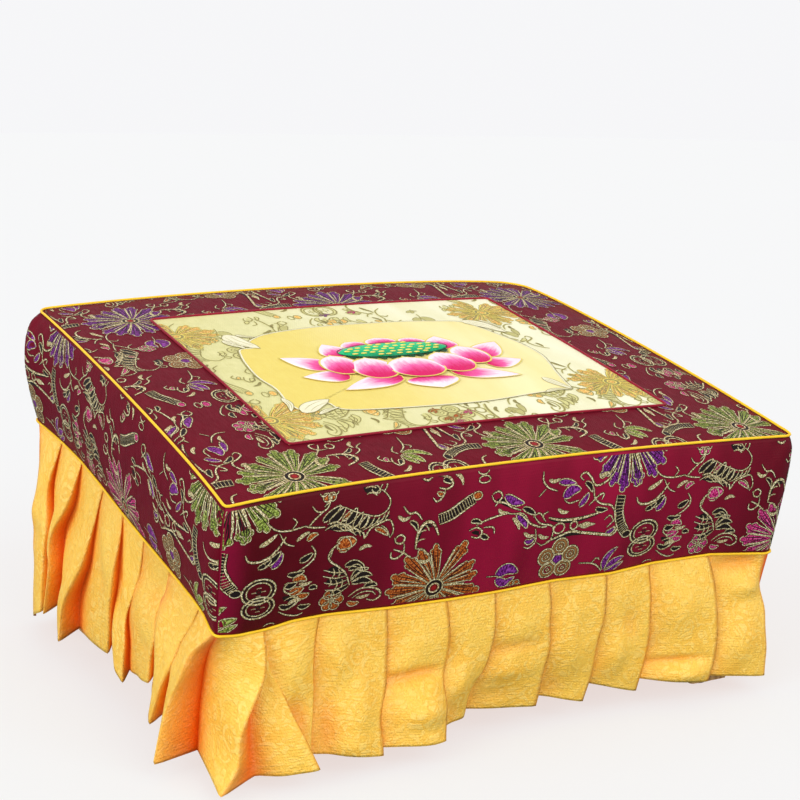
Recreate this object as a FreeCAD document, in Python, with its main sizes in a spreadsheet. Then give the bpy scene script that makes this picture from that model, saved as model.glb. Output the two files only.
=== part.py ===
import FreeCAD
import Part
import Sketcher
import math
import operator
import os
from FreeCAD import Placement, Rotation, Vector

# Kneeling bench with a sloped padded top and a skirted slip cover, in millimetres.
# +Z is up, +X is to the right of someone who faces the bench, and the low front edge is on the -Y side.
# The origin is on the floor, under the middle of the skirt.

# Driving sizes
SIZES = [
    ("cover_width", 600, "cover, from side to side over the top seam"),
    ("cover_depth", 520, "cover, from front to rear along the slope"),
    ("front_height", 263, "top seam above the floor at the front"),
    ("slope", 10.5, "tilt of the top, in degrees"),
    ("band_height", 121, "brocade wall, square to the slope"),
    ("crown", 13, "rise of the top's middle over its corners"),
    ("corner_round", 18, "radius of the cover's corners, seen from above"),
    ("band_bulge", 6, "swell of the brocade wall at half height"),
    ("cover_cloth", 2, "thickness of the lined brocade"),
    ("cloth_gap", 0.3, "clearance between soft pieces"),
    ("piping_width", 4.5, "diameter of the yellow piping"),
    ("panel_width", 412, "centre panel, from side to side"),
    ("panel_depth", 352, "centre panel, from front to rear"),
    ("panel_cloth", 0.8, "thickness of the centre panel"),
    ("window_width", 316, "golden field inside the panel's frame, from side to side"),
    ("window_depth", 230, "golden field, from front to rear"),
    ("window_bow", 22, "swell of the field's curved edges"),
    ("trim_width", 4, "diameter of the crimson cord"),
    ("lotus_width", 250, "embroidered lotus, from tip to tip"),
    ("stitch_height", 0.8, "height of the embroidery"),
    ("pad_thickness", 58, "foam under the top's corners"),
    ("pad_inset", 0.6, "clearance of the foam inside the walls"),
    ("lining_cloth", 1, "thickness of the cloth under the foam"),
    ("skirt_cloth", 1.6, "thickness of the lined satin"),
    ("hem_clearance", 6, "hem above the floor"),
    ("pleat_step", 6, "depth of a pleat at the skirt's seam"),
    ("pleat_lap", 8, "overlap of a pleat at the skirt's seam"),
    ("hem_reach", 14, "outer folds outside the seam line at the hem"),
    ("hem_tuck", 5, "inner folds inside the seam line at the hem"),
    ("hem_lap", 15, "overlap of a pleat at the hem"),
    ("corner_reach", 22, "corner folds outside the seam line at the hem"),
    ("leg_size", 45, "side of a leg"),
    ("leg_round", 4, "rounding of the legs' long edges"),
    ("apron_height", 55, "height of the rails under the deck"),
    ("rail_thickness", 20, "thickness of the rails and stretchers"),
    ("rail_setback", 4, "rails behind the legs' outer faces"),
    ("tenon_length", 22, "rail tenons, into the legs"),
    ("tenon_thickness", 8, "thickness of the tenons"),
    ("tenon_shoulder", 10, "rail edge to the tenon's edge"),
    ("stretcher_level", 45, "underside of the stretchers above the floor"),
    ("stretcher_height", 28, "height of the stretchers"),
    ("stretcher_shoulder", 6, "stretcher edge to the tenon's edge"),
    ("cross_tenon", 10, "cross stretcher's tenon, into the side stretchers"),
    ("bearer_width", 40, "width of the batten under the planks"),
    ("bearer_height", 26, "height of the batten"),
    ("plank_thickness", 15, "thickness of the deck"),
    ("deck_side_clearance", 22, "plank ends inside the cover's side seams"),
    ("deck_end_clearance", 21, "deck inside the cover's front and rear seams, along the slope"),
    ("deck_side_overhang", 8, "planks past the legs' outer faces, at the sides"),
    ("deck_end_overhang", 7, "deck past the legs' outer faces, at the front and rear"),
    ("deck_shift", 6, "deck's middle behind the cover's middle, along the slope"),
    ("plank_gap", 3, "gap between two planks"),
    ("plank_round", 2, "rounding of the planks' long edges"),
    ("block_reach", 45, "corner block along each rail, past the leg"),
    ("block_height", 28, "height of the corner blocks"),
    ("block_drop", 10, "corner blocks under the deck"),
    ("screw_length", 38, "wood screws, over the head"),
    ("screw_width", 4, "shank diameter of the wood screws"),
    ("screw_head", 8, "head diameter of the wood screws"),
    ("screw_head_depth", 2.5, "depth of the countersunk heads"),
    ("bearer_screw_spacing", 20, "between the two screws in each end of the batten"),
    ("lag_length", 42, "screws through the corner blocks, under the head"),
    ("lag_width", 6, "shank diameter of those screws"),
    ("lag_head", 12, "head diameter of those screws"),
    ("lag_head_height", 4, "height of those heads"),
    ("glide_width", 26, "upper diameter of the foot glides"),
    ("glide_foot", 22, "diameter of the glides' flat foot"),
    ("glide_height", 6, "height of the foot glides"),
    ("nail_length", 24, "nails in the glides, over the head"),
    ("nail_width", 3, "shank diameter of the nails"),
    ("nail_head", 7, "head diameter of the nails"),
    ("nail_head_height", 1.2, "height of the nail heads"),
    ("nail_recess", 1.8, "nail heads above the floor"),
]
FRONT_PLEATS = 10
SIDE_PLEATS = 8
PLANKS = 5

doc = FreeCAD.newDocument("kneeling_bench")
sheet = doc.addObject("Spreadsheet::Sheet", "Sizes")
for row, (alias, value, meaning) in enumerate(SIZES, start=1):
    sheet.set(f"A{row}", str(value))
    sheet.setAlias(f"A{row}", alias)
    sheet.set(f"B{row}", meaning)
doc.recompute()


class Size:
    """A length or angle: the expression that drives the model and its present value."""

    def __init__(self, text, value):
        self.text = text
        self.value = value

    def __add__(self, other):
        return combined(self, "+", operator.add, other)

    def __radd__(self, other):
        return combined(other, "+", operator.add, self)

    def __sub__(self, other):
        return combined(self, "-", operator.sub, other)

    def __rsub__(self, other):
        return combined(other, "-", operator.sub, self)

    def __mul__(self, other):
        return combined(self, "*", operator.mul, other)

    def __rmul__(self, other):
        return combined(other, "*", operator.mul, self)

    def __truediv__(self, other):
        return combined(self, "/", operator.truediv, other)

    def __neg__(self):
        return combined(-1, "*", operator.mul, self)


def as_size(number):
    if isinstance(number, Size):
        return number
    return Size(f"({number})", float(number))


def combined(left, sign, action, right):
    left = as_size(left)
    right = as_size(right)
    return Size(f"({left.text} {sign} {right.text})", action(left.value, right.value))


def sine(angle):
    return Size(f"sin({angle.text})", math.sin(math.radians(angle.value)))


def cosine(angle):
    return Size(f"cos({angle.text})", math.cos(math.radians(angle.value)))


class SheetSizes:
    """The driving sizes by name, as they stand in the sheet."""

    def __getattr__(self, alias):
        return Size(f"Sizes.{alias}", float(getattr(sheet, alias)))


S = SheetSizes()

# Derived places
sin_slope = sine(S.slope)
cos_slope = cosine(S.slope)
tan_slope = sin_slope / cos_slope
seat_y = -S.band_height * sin_slope
seat_z = S.front_height + S.cover_depth / 2 * sin_slope
crown_radius = ((S.cover_width * S.cover_width + S.cover_depth * S.cover_depth) / 4
                + S.crown * S.crown) / (2 * S.crown)
crown_centre = S.crown - crown_radius
pad_top_drop = S.cover_cloth + S.cloth_gap
pad_under_drop = pad_top_drop + S.pad_thickness
lining_drop = pad_under_drop + S.cloth_gap
deck_drop = lining_drop + S.lining_cloth + S.cloth_gap
under_drop = deck_drop + S.plank_thickness
deck_width = S.cover_width - 2 * S.deck_side_clearance
deck_depth = S.cover_depth - 2 * S.deck_end_clearance
frame_width = deck_width - 2 * S.deck_side_overhang
frame_depth = deck_depth * cos_slope - 2 * S.deck_end_overhang
leg_x = frame_width / 2 - S.leg_size
leg_y = frame_depth / 2 - S.leg_size
rail_outer_x = frame_width / 2 - S.rail_setback
rail_outer_y = frame_depth / 2 - S.rail_setback
rail_inner_x = rail_outer_x - S.rail_thickness
rail_inner_y = rail_outer_y - S.rail_thickness


def slope_level(y, drop):
    """Height above the floor of the plane that lies drop under the top seam, at a given y."""
    return seat_z + (y - seat_y) * tan_slope - drop / cos_slope


def bind(thing, sizes):
    for name, size in sizes.items():
        thing.setExpression(name, as_size(size).text)


def place(thing, x=0, y=0, z=0):
    bind(thing, {"Placement.Base.x": x, "Placement.Base.y": y, "Placement.Base.z": z})


def place_on_seat(thing):
    """Carries a piece that was made level, about the top seam's middle, onto the slope."""
    thing.Placement = Placement(Vector(0, 0, 0), Rotation(Vector(1, 0, 0), S.slope.value))
    thing.setExpression("Placement.Rotation.Angle", S.slope.text)
    place(thing, 0, seat_y, seat_z)


# Sketched pieces
def new_body(name):
    return doc.addObject("PartDesign::Body", name)


def outline(body, role, points, offset=0):
    """A closed polygon on one of the body's origin planes, each corner bound to its sizes."""
    sketch = body.newObject("Sketcher::SketchObject", "Outline")
    planes = [feature for feature in body.Origin.OriginFeatures if feature.Role == role]
    sketch.AttachmentSupport = [(planes[0], "")]
    sketch.MapMode = "FlatFace"
    sketch.setExpression("AttachmentOffset.Base.z", as_size(offset).text)
    corners = [(as_size(a), as_size(b)) for a, b in points]
    count = len(corners)
    for i in range(count):
        start = Vector(corners[i][0].value, corners[i][1].value, 0)
        end = Vector(corners[(i + 1) % count][0].value, corners[(i + 1) % count][1].value, 0)
        sketch.addGeometry(Part.LineSegment(start, end))
    for i in range(count):
        sketch.addConstraint(Sketcher.Constraint("Coincident", i, 2, (i + 1) % count, 1))
    for i in range(count):
        for kind, size in zip(("DistanceX", "DistanceY"), corners[i]):
            index = sketch.addConstraint(Sketcher.Constraint(kind, -1, 1, i, 1, size.value))
            sketch.setExpression(f"Constraints[{index}]", size.text)
    return sketch


def pad(body, sketch, length):
    feature = body.newObject("PartDesign::Pad", "Pad")
    feature.Profile = sketch
    feature.setExpression("Length", as_size(length).text)
    return feature


def round_edges(body, feature, radius, direction):
    """Rounds the feature's straight edges that run along the given direction."""
    doc.recompute()
    names = []
    for number, edge in enumerate(feature.Shape.Edges, start=1):
        run = edge.Vertexes[-1].Point - edge.Vertexes[0].Point
        if run.Length > 0 and run.normalize().cross(direction).Length < 1e-6:
            names.append(f"Edge{number}")
    fillet = body.newObject("PartDesign::Fillet", "Fillet")
    fillet.Base = (feature, names)
    fillet.setExpression("Radius", radius.text)
    return fillet


def box_points(x0, x1, y0, y1):
    return [(x0, y0), (x1, y0), (x1, y1), (x0, y1)]


def cut(name, base, tools):
    """The base with the tools' shapes taken out, as mortises and screw holes are."""
    group = doc.addObject("Part::Compound", name + "_tools")
    group.Links = tools
    result = doc.addObject("Part::Cut", name)
    result.Base = base
    result.Tool = group
    return result


nodes = {}


def keep(name, thing):
    thing.Label = name
    nodes[name] = thing


# Fasteners
def revolved(name, points):
    """A turned piece: its half outline, as radius and height, about the Z axis."""
    body = new_body(name)
    sketch = outline(body, "XZ_Plane", points)
    feature = body.newObject("PartDesign::Revolution", "Revolution")
    feature.Profile = sketch
    feature.ReferenceAxis = (sketch, ["V_Axis"])
    feature.Angle = 360
    return body


def group_of(name, master, placements):
    """One node that holds a copy of the master at each placement."""
    doc.recompute()
    copies = []
    for placement in placements:
        copy = master.Shape.copy()
        copy.Placement = placement.multiply(master.Shape.Placement)
        copies.append(copy)
    group = doc.addObject("Part::Feature", name)
    group.Shape = Part.makeCompound(copies)
    keep(name, group)
    return group


wood_screw = revolved("wood_screw", [
    (0, 0), (S.screw_head / 2, 0), (S.screw_width / 2, -S.screw_head_depth),
    (S.screw_width / 2, S.screw_width - S.screw_length), (0, -S.screw_length)])
lag_screw = revolved("lag_screw", [
    (0, S.lag_head_height), (S.lag_head / 2, S.lag_head_height), (S.lag_head / 2, 0), (S.lag_width / 2, 0),
    (S.lag_width / 2, S.lag_width - S.lag_length), (0, -S.lag_length)])
nail = revolved("nail", [
    (0, 0), (S.nail_head / 2, 0), (S.nail_head / 2, S.nail_head_height),
    (S.nail_width / 2, S.nail_head_height), (S.nail_width / 2, S.nail_length - S.nail_width),
    (0, S.nail_length)])

seat_turn = Rotation(Vector(1, 0, 0), S.slope.value)
seat_frame = Placement(Vector(0, seat_y.value, seat_z.value), seat_turn)
plank_depth = (deck_depth - (PLANKS - 1) * S.plank_gap) / PLANKS


def plank_middle(index):
    return S.deck_shift - deck_depth / 2 + plank_depth / 2 + index * (plank_depth + S.plank_gap)


screw_places = []
rail_middle_x = (rail_outer_x + rail_inner_x) / 2
for index in range(PLANKS):
    middle = plank_middle(index).value
    spots = [(0, middle)]
    for side in (-1, 1):
        for half in (-1, 1):
            spots.append((side * rail_middle_x.value, middle + half * plank_depth.value / 4))
    for x, along in spots:
        screw_places.append(seat_frame.multiply(Placement(Vector(x, along, -deck_drop.value), Rotation())))
plank_screws = group_of("plank_screws", wood_screw, screw_places)

bearer_level_front = slope_level(-rail_outer_y, under_drop) - S.bearer_height / 2
bearer_level_rear = slope_level(rail_inner_y, under_drop) - S.bearer_height / 2
bearer_places = []
for side, level in ((-1, bearer_level_front), (1, bearer_level_rear)):
    facing = Rotation(Vector(0, 0, 1), Vector(0, side, 0))
    for half in (-1, 1):
        x = half * S.bearer_screw_spacing.value / 2
        bearer_places.append(Placement(Vector(x, side * rail_outer_y.value, level.value), facing))
bearer_screws = group_of("bearer_screws", wood_screw, bearer_places)

block_top = {-1: slope_level(-rail_inner_y, under_drop) - S.block_drop,
             1: slope_level(leg_y - S.block_reach, under_drop) - S.block_drop}
block_places = []
for side_x in (-1, 1):
    for side_y in (-1, 1):
        # The middle of the block's slanted face
        x = side_x * (leg_x.value - S.block_reach.value + rail_inner_x.value) / 2
        y = side_y * (leg_y.value - S.block_reach.value + rail_inner_y.value) / 2
        z = block_top[side_y].value - S.block_height.value / 2
        run_x = (rail_inner_x - leg_x + S.block_reach).value
        run_y = (rail_inner_y - leg_y + S.block_reach).value
        facing = Rotation(Vector(0, 0, 1), Vector(-side_x * run_y, -side_y * run_x, 0))
        block_places.append(Placement(Vector(x, y, z), facing))
block_screws = group_of("block_screws", lag_screw, block_places)

leg_middle_x = frame_width / 2 - S.leg_size / 2
leg_middle_y = frame_depth / 2 - S.leg_size / 2
nail_places = [Placement(Vector(sx * leg_middle_x.value, sy * leg_middle_y.value, S.nail_recess.value), Rotation())
               for sx in (-1, 1) for sy in (-1, 1)]
glide_nails = group_of("glide_nails", nail, nail_places)

CORNERS = [("front", "left", -1, -1), ("front", "right", 1, -1), ("rear", "left", -1, 1), ("rear", "right", 1, 1)]

# Foot glides
for end, hand, side_x, side_y in CORNERS:
    name = f"foot_glide_{end}_{hand}"
    disc = doc.addObject("Part::Cone", name + "_disc")
    bind(disc, {"Radius1": S.glide_foot / 2, "Radius2": S.glide_width / 2, "Height": S.glide_height})
    place(disc, side_x * leg_middle_x, side_y * leg_middle_y, 0)
    keep(name, cut(name, disc, [glide_nails]))

# Rails, seen from the side as y and z
aprons = {}
for end, side_y in (("front", -1), ("rear", 1)):
    body = new_body(f"apron_{end}_blank")
    y0 = side_y * rail_outer_y
    y1 = side_y * rail_inner_y
    bottom = slope_level(y0, under_drop) - S.apron_height
    profile = [(y0, bottom), (y1, bottom), (y1, slope_level(y1, under_drop)), (y0, slope_level(y0, under_drop))]
    pad(body, outline(body, "YZ_Plane", profile, -leg_x), 2 * leg_x)
    middle = (y0 + y1) / 2
    tenon = box_points(middle - S.tenon_thickness / 2, middle + S.tenon_thickness / 2,
                       bottom + S.tenon_shoulder, bottom + S.apron_height - S.tenon_shoulder)
    pad(body, outline(body, "YZ_Plane", tenon, -leg_x - S.tenon_length), 2 * (leg_x + S.tenon_length))
    aprons[end] = body
for hand, side_x in (("left", -1), ("right", 1)):
    body = new_body(f"apron_{hand}_blank")
    middle = side_x * rail_middle_x
    profile = [(-leg_y, slope_level(-leg_y, under_drop) - S.apron_height),
               (leg_y, slope_level(leg_y, under_drop) - S.apron_height),
               (leg_y, slope_level(leg_y, under_drop)), (-leg_y, slope_level(-leg_y, under_drop))]
    pad(body, outline(body, "YZ_Plane", profile, middle - S.rail_thickness / 2), S.rail_thickness)
    reach = leg_y + S.tenon_length
    low = S.apron_height - S.tenon_shoulder
    tenon = [(-reach, slope_level(-reach, under_drop) - low), (reach, slope_level(reach, under_drop) - low),
             (reach, slope_level(reach, under_drop) - S.tenon_shoulder),
             (-reach, slope_level(-reach, under_drop) - S.tenon_shoulder)]
    pad(body, outline(body, "YZ_Plane", tenon, middle - S.tenon_thickness / 2), S.tenon_thickness)
    aprons[hand] = body
keep("apron_front", cut("apron_front", aprons["front"], [bearer_screws]))
keep("apron_rear", cut("apron_rear", aprons["rear"], [bearer_screws]))
keep("apron_left", cut("apron_left", aprons["left"], [plank_screws]))
keep("apron_right", cut("apron_right", aprons["right"], [plank_screws]))

# Stretchers
stretchers = {}
stretcher_top = S.stretcher_level + S.stretcher_height
tenon_low = S.stretcher_level + S.stretcher_shoulder
tenon_high = stretcher_top - S.stretcher_shoulder
cross = new_body("cross_stretcher")
half_thickness = S.rail_thickness / 2
pad(cross, outline(cross, "YZ_Plane", box_points(-half_thickness, half_thickness, S.stretcher_level, stretcher_top),
                   -rail_inner_x), 2 * rail_inner_x)
half_thickness = S.tenon_thickness / 2
pad(cross, outline(cross, "YZ_Plane", box_points(-half_thickness, half_thickness, tenon_low, tenon_high),
                   -rail_inner_x - S.cross_tenon), 2 * (rail_inner_x + S.cross_tenon))
keep("stretcher_cross", cross)
for hand, side_x in (("left", -1), ("right", 1)):
    body = new_body(f"stretcher_{hand}_blank")
    middle = side_x * rail_middle_x
    pad(body, outline(body, "YZ_Plane", box_points(-leg_y, leg_y, S.stretcher_level, stretcher_top),
                      middle - S.rail_thickness / 2), S.rail_thickness)
    reach = leg_y + S.tenon_length
    pad(body, outline(body, "YZ_Plane", box_points(-reach, reach, tenon_low, tenon_high),
                      middle - S.tenon_thickness / 2), S.tenon_thickness)
    stretchers[hand] = body
    keep(f"stretcher_{hand}", cut(f"stretcher_{hand}", body, [cross]))

# Legs, with their tops cut to the slope and mortised for the rails
for end, hand, side_x, side_y in CORNERS:
    name = f"leg_{end}_{hand}"
    body = new_body(name + "_blank")
    y0 = side_y * frame_depth / 2
    y1 = side_y * leg_y
    profile = [(y0, S.glide_height), (y1, S.glide_height),
               (y1, slope_level(y1, under_drop)), (y0, slope_level(y0, under_drop))]
    start = leg_x if side_x > 0 else -leg_x - S.leg_size
    post = pad(body, outline(body, "YZ_Plane", profile, start), S.leg_size)
    round_edges(body, post, S.leg_round, Vector(0, 0, 1))
    tools = [aprons[end], aprons[hand], stretchers[hand], plank_screws, block_screws, glide_nails]
    keep(name, cut(name, body, tools))

# Corner blocks, notched round the legs
for end, hand, side_x, side_y in CORNERS:
    name = f"corner_block_{end}_{hand}"
    body = new_body(name + "_blank")
    corner_points = [(leg_x, rail_inner_y), (leg_x - S.block_reach, rail_inner_y),
                     (rail_inner_x, leg_y - S.block_reach), (rail_inner_x, leg_y), (leg_x, leg_y)]
    points = [(side_x * a, side_y * b) for a, b in corner_points]
    pad(body, outline(body, "XY_Plane", points, block_top[side_y] - S.block_height), S.block_height)
    keep(name, cut(name, body, [block_screws]))

# Batten under the middle of the deck
bearer = new_body("bearer_blank")
ends = (-rail_inner_y, rail_inner_y)
profile = [(ends[0], slope_level(ends[0], under_drop) - S.bearer_height),
           (ends[1], slope_level(ends[1], under_drop) - S.bearer_height),
           (ends[1], slope_level(ends[1], under_drop)), (ends[0], slope_level(ends[0], under_drop))]
pad(bearer, outline(bearer, "YZ_Plane", profile, -S.bearer_width / 2), S.bearer_width)
keep("seat_bearer", cut("seat_bearer", bearer, [plank_screws, bearer_screws]))

# Deck planks
for index in range(PLANKS):
    name = f"seat_plank_{index + 1}"
    body = new_body(name + "_blank")
    middle = plank_middle(index)
    points = box_points(middle - plank_depth / 2, middle + plank_depth / 2,
                        -deck_drop - S.plank_thickness, -deck_drop)
    board = pad(body, outline(body, "YZ_Plane", points, -deck_width / 2), deck_width)
    round_edges(body, board, S.plank_round, Vector(1, 0, 0))
    place_on_seat(body)
    keep(name, cut(name, body, [plank_screws]))


# Sewn cover, made level about the middle of the top seam and then carried onto the slope
def crown_ball(name, radius):
    """A ball whose upper side is the crown of the top, poles to the left and right."""
    ball = doc.addObject("Part::Sphere", name)
    ball.Placement = Placement(Vector(0, 0, 0), Rotation(Vector(0, 1, 0), 90))
    bind(ball, {"Radius": radius, "Placement.Base.z": crown_centre})
    return ball


def crown_shell(name, inner, outer):
    shell = doc.addObject("Part::Cut", name)
    shell.Base = crown_ball(name + "_outer", crown_radius + outer)
    shell.Tool = crown_ball(name + "_inner", crown_radius + inner)
    return shell


def rounded_prism(name, width, depth, radius, bottom, top):
    """An upright block with rounded corners, seen from above."""
    body = new_body(name)
    x = width / 2
    y = depth / 2
    block = pad(body, outline(body, "XY_Plane", box_points(-x, x, -y, y), bottom), top - bottom)
    round_edges(body, block, radius, Vector(0, 0, 1))
    return body


def common(name, base, tool):
    result = doc.addObject("Part::Common", name)
    result.Base = base
    result.Tool = tool
    return result


def level_lift(level):
    """Puts points of the plan on one level."""
    return lambda x, y: Vector(x, y, level)


def crown_lift(offset):
    """Puts points of the plan on the crown, or a little off it."""
    ball = crown_radius.value + offset
    return lambda x, y: Vector(x, y, math.sqrt(ball * ball - x * x - y * y) + crown_centre.value)


def ring_path(half_width, half_depth, radius, lift):
    """The edges of a rounded rectangle, open by the cloth gap at the middle of its rear side."""
    slant = radius * (1 - math.sqrt(0.5))
    ends = S.cloth_gap.value / 2

    def run(first, last):
        middle = lift((first.x + last.x) / 2, (first.y + last.y) / 2)
        if (middle - first).cross(last - middle).Length < 1e-6:
            return Part.LineSegment(first, last).toShape()
        return Part.Arc(first, middle, last).toShape()

    edges = []
    spot = lift(-ends, half_depth)
    for side_x, side_y in ((-1, 1), (-1, -1), (1, -1), (1, 1)):
        along = lift(side_x * half_width, side_y * (half_depth - radius))
        across = lift(side_x * (half_width - radius), side_y * half_depth)
        bend = lift(side_x * (half_width - slant), side_y * (half_depth - slant))
        first, last = (across, along) if side_x * side_y < 0 else (along, across)
        edges.append(run(spot, first))
        edges.append(Part.Arc(first, bend, last).toShape())
        spot = last
    edges.append(run(spot, lift(ends, half_depth)))
    return edges


def cord_along(edges, radius):
    """A round cord along a path of edges."""
    start = edges[0].FirstParameter
    circle = Part.Circle(edges[0].valueAt(start), edges[0].tangentAt(start), radius)
    return Part.Wire(edges).makePipeShell([Part.Wire(circle.toShape())], True, False)


def sewn(name, shape):
    thing = doc.addObject("Part::Feature", name)
    thing.Shape = shape
    return thing


half_width = S.cover_width.value / 2
half_depth = S.cover_depth.value / 2
piping_radius = S.piping_width.value / 2
seam_gap = S.cloth_gap.value / 2

# Top panel, inside the piping
top_inset = S.piping_width + S.cloth_gap / 2
top_blank = rounded_prism("top_blank", S.cover_width - 2 * top_inset, S.cover_depth - 2 * top_inset,
                          S.corner_round - top_inset, -2 * S.crown - S.piping_width, 2 * S.crown)
cover_top = common("cover_top", top_blank, crown_shell("top_shell", -S.cover_cloth, 0))
place_on_seat(cover_top)
keep("cover_top", cover_top)

# Piping in the top seam
piping_path = ring_path(half_width - piping_radius, half_depth - piping_radius,
                        S.corner_round.value - piping_radius, crown_lift(-piping_radius))
top_piping = sewn("top_piping", cord_along(piping_path, piping_radius))
place_on_seat(top_piping)
keep("top_piping", top_piping)


# Brocade wall, a bulged strip carried round the cover
def wall_ring(name, inner, outer, top, bottom):
    """A ring between two curved faces, given as distances outside the wall's outer face."""
    chord = S.band_height.value / 2
    bulge = S.band_bulge.value
    bow = (chord * chord + bulge * bulge) / (2 * bulge)

    def point(offset, level):
        radius = bow + offset
        return Vector(half_width + bulge - bow + math.sqrt(radius * radius - (level + chord) ** 2), 0, level)

    edges = []
    for offset in (inner, outer):
        edges.append(Part.Arc(point(offset, bottom), point(offset, (bottom + top) / 2), point(offset, top)).toShape())
    edges.append(Part.LineSegment(point(inner, bottom), point(outer, bottom)).toShape())
    edges.append(Part.LineSegment(point(inner, top), point(outer, top)).toShape())
    profile = Part.Wire(Part.__sortEdges__(edges))
    path = []
    corner = S.corner_round.value
    slant = corner * (1 - math.sqrt(0.5))
    spot = Vector(half_width, 0, 0)
    for side_x, side_y in ((1, 1), (-1, 1), (-1, -1), (1, -1)):
        along = Vector(side_x * half_width, side_y * (half_depth - corner), 0)
        across = Vector(side_x * (half_width - corner), side_y * half_depth, 0)
        bend = Vector(side_x * (half_width - slant), side_y * (half_depth - slant), 0)
        first, last = (along, across) if side_x * side_y > 0 else (across, along)
        path.append(Part.LineSegment(spot, first).toShape())
        path.append(Part.Arc(first, bend, last).toShape())
        spot = last
    path.append(Part.LineSegment(spot, Vector(half_width, 0, 0)).toShape())
    spine = Part.Wire(path)
    return sewn(name, spine.makePipeShell([profile], True, False))


wall_bottom = -S.band_height.value
wall = wall_ring("wall_ring", -S.cover_cloth.value, 0, S.crown.value, wall_bottom)
seated_wall = common("seated_wall", wall, crown_ball("wall_top", crown_radius - S.piping_width - S.cloth_gap / 2))
WALLS = [("front", 0, -1), ("right", 1, 0), ("rear", 0, 1), ("left", -1, 0)]
for name, side_x, side_y in WALLS:
    # The part of the cover between the mitre lines of two corners
    body = new_body(f"mitre_{name}")
    outer_x = S.cover_width / 2 + S.cover_width / 10
    outer_y = S.cover_depth / 2 + S.cover_width / 10
    depth = S.cover_width / 5
    if side_x:
        points = [(side_x * outer_x, -outer_y), (side_x * outer_x, outer_y),
                  (side_x * (outer_x - depth), outer_y - depth), (side_x * (outer_x - depth), depth - outer_y)]
    else:
        points = [(-outer_x, side_y * outer_y), (outer_x, side_y * outer_y),
                  (outer_x - depth, side_y * (outer_y - depth)), (depth - outer_x, side_y * (outer_y - depth))]
    pad(body, outline(body, "XY_Plane", points, -2 * S.band_height), 3 * S.band_height)
    side = common(f"band_{name}", seated_wall, body)
    place_on_seat(side)
    keep(f"band_{name}", side)

# Piping in the lower seam
lower_path = ring_path(half_width - seam_gap, half_depth - seam_gap, S.corner_round.value - seam_gap,
                       level_lift(wall_bottom - seam_gap - piping_radius))
bottom_piping = sewn("bottom_piping", cord_along(lower_path, piping_radius))
place_on_seat(bottom_piping)
keep("bottom_piping", bottom_piping)

# Foam, shaped by the cover round it
pad_blank = rounded_prism("pad_blank", S.cover_width + 2 * S.band_bulge, S.cover_depth + 2 * S.band_bulge,
                          S.corner_round, -pad_under_drop, 2 * S.crown)
crowned_pad = common("crowned_pad", pad_blank, crown_ball("pad_top", crown_radius - pad_top_drop))
wall_room = wall_ring("wall_room", -S.cover_cloth.value - S.pad_inset.value, 4 * S.band_bulge.value,
                      2 * S.crown.value, wall_bottom)
piping_room = sewn("piping_room", cord_along(piping_path, piping_radius + S.pad_inset.value))
walled_pad = cut("walled_pad", crowned_pad, [wall_room])
foam_pad = cut("foam_pad", walled_pad, [piping_room])
place_on_seat(foam_pad)
keep("foam_pad", foam_pad)

# Lining under the foam
lining_blank = rounded_prism("lining_blank", S.cover_width + 2 * S.band_bulge, S.cover_depth + 2 * S.band_bulge,
                             S.corner_round, -lining_drop - S.lining_cloth, -lining_drop)
lining = cut("cushion_lining", lining_blank, [wall_room])
place_on_seat(lining)
keep("cushion_lining", lining)

# Centre panel: a frame with a curved window and the golden field in it
panel_blank = rounded_prism("panel_blank", S.panel_width, S.panel_depth, S.trim_width, -S.crown, 3 * S.crown)
panel_shell = crown_shell("panel_shell", S.cloth_gap, S.cloth_gap + S.panel_cloth)
panel_sheet = common("panel_sheet", panel_blank, panel_shell)


def window_prism(name, shrink):
    """The curved window as an upright block: four shallow arcs that swell outwards."""
    x = S.window_width.value / 2 - S.window_bow.value - shrink
    y = S.window_depth.value / 2 - S.window_bow.value - shrink
    bow_x = x + S.window_bow.value
    bow_y = y + S.window_bow.value
    corners = [Vector(-x, -y, 0), Vector(x, -y, 0), Vector(x, y, 0), Vector(-x, y, 0)]
    middles = [Vector(0, -bow_y, 0), Vector(bow_x, 0, 0), Vector(0, bow_y, 0), Vector(-bow_x, 0, 0)]
    edges = [Part.Arc(corners[i], middles[i], corners[(i + 1) % 4]).toShape() for i in range(4)]
    face = Part.Face(Part.Wire(edges))
    face.translate(Vector(0, 0, -S.crown.value))
    return sewn(name, face.extrude(Vector(0, 0, 4 * S.crown.value)))


border = cut("panel_border", panel_sheet, [window_prism("window", 0)])
place_on_seat(border)
keep("panel_border", border)
ground = common("lotus_ground", panel_sheet, window_prism("window_field", seam_gap))
place_on_seat(ground)
keep("lotus_ground", ground)

# Crimson cord round the panel
trim_radius = S.trim_width.value / 2
trim_out = trim_radius + seam_gap
trim_path = ring_path(S.panel_width.value / 2 + trim_out, S.panel_depth.value / 2 + trim_out,
                      S.trim_width.value + trim_out, crown_lift(S.cloth_gap.value + trim_radius))
panel_trim = sewn("panel_trim", cord_along(trim_path, trim_radius))
place_on_seat(panel_trim)
keep("panel_trim", panel_trim)

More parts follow.
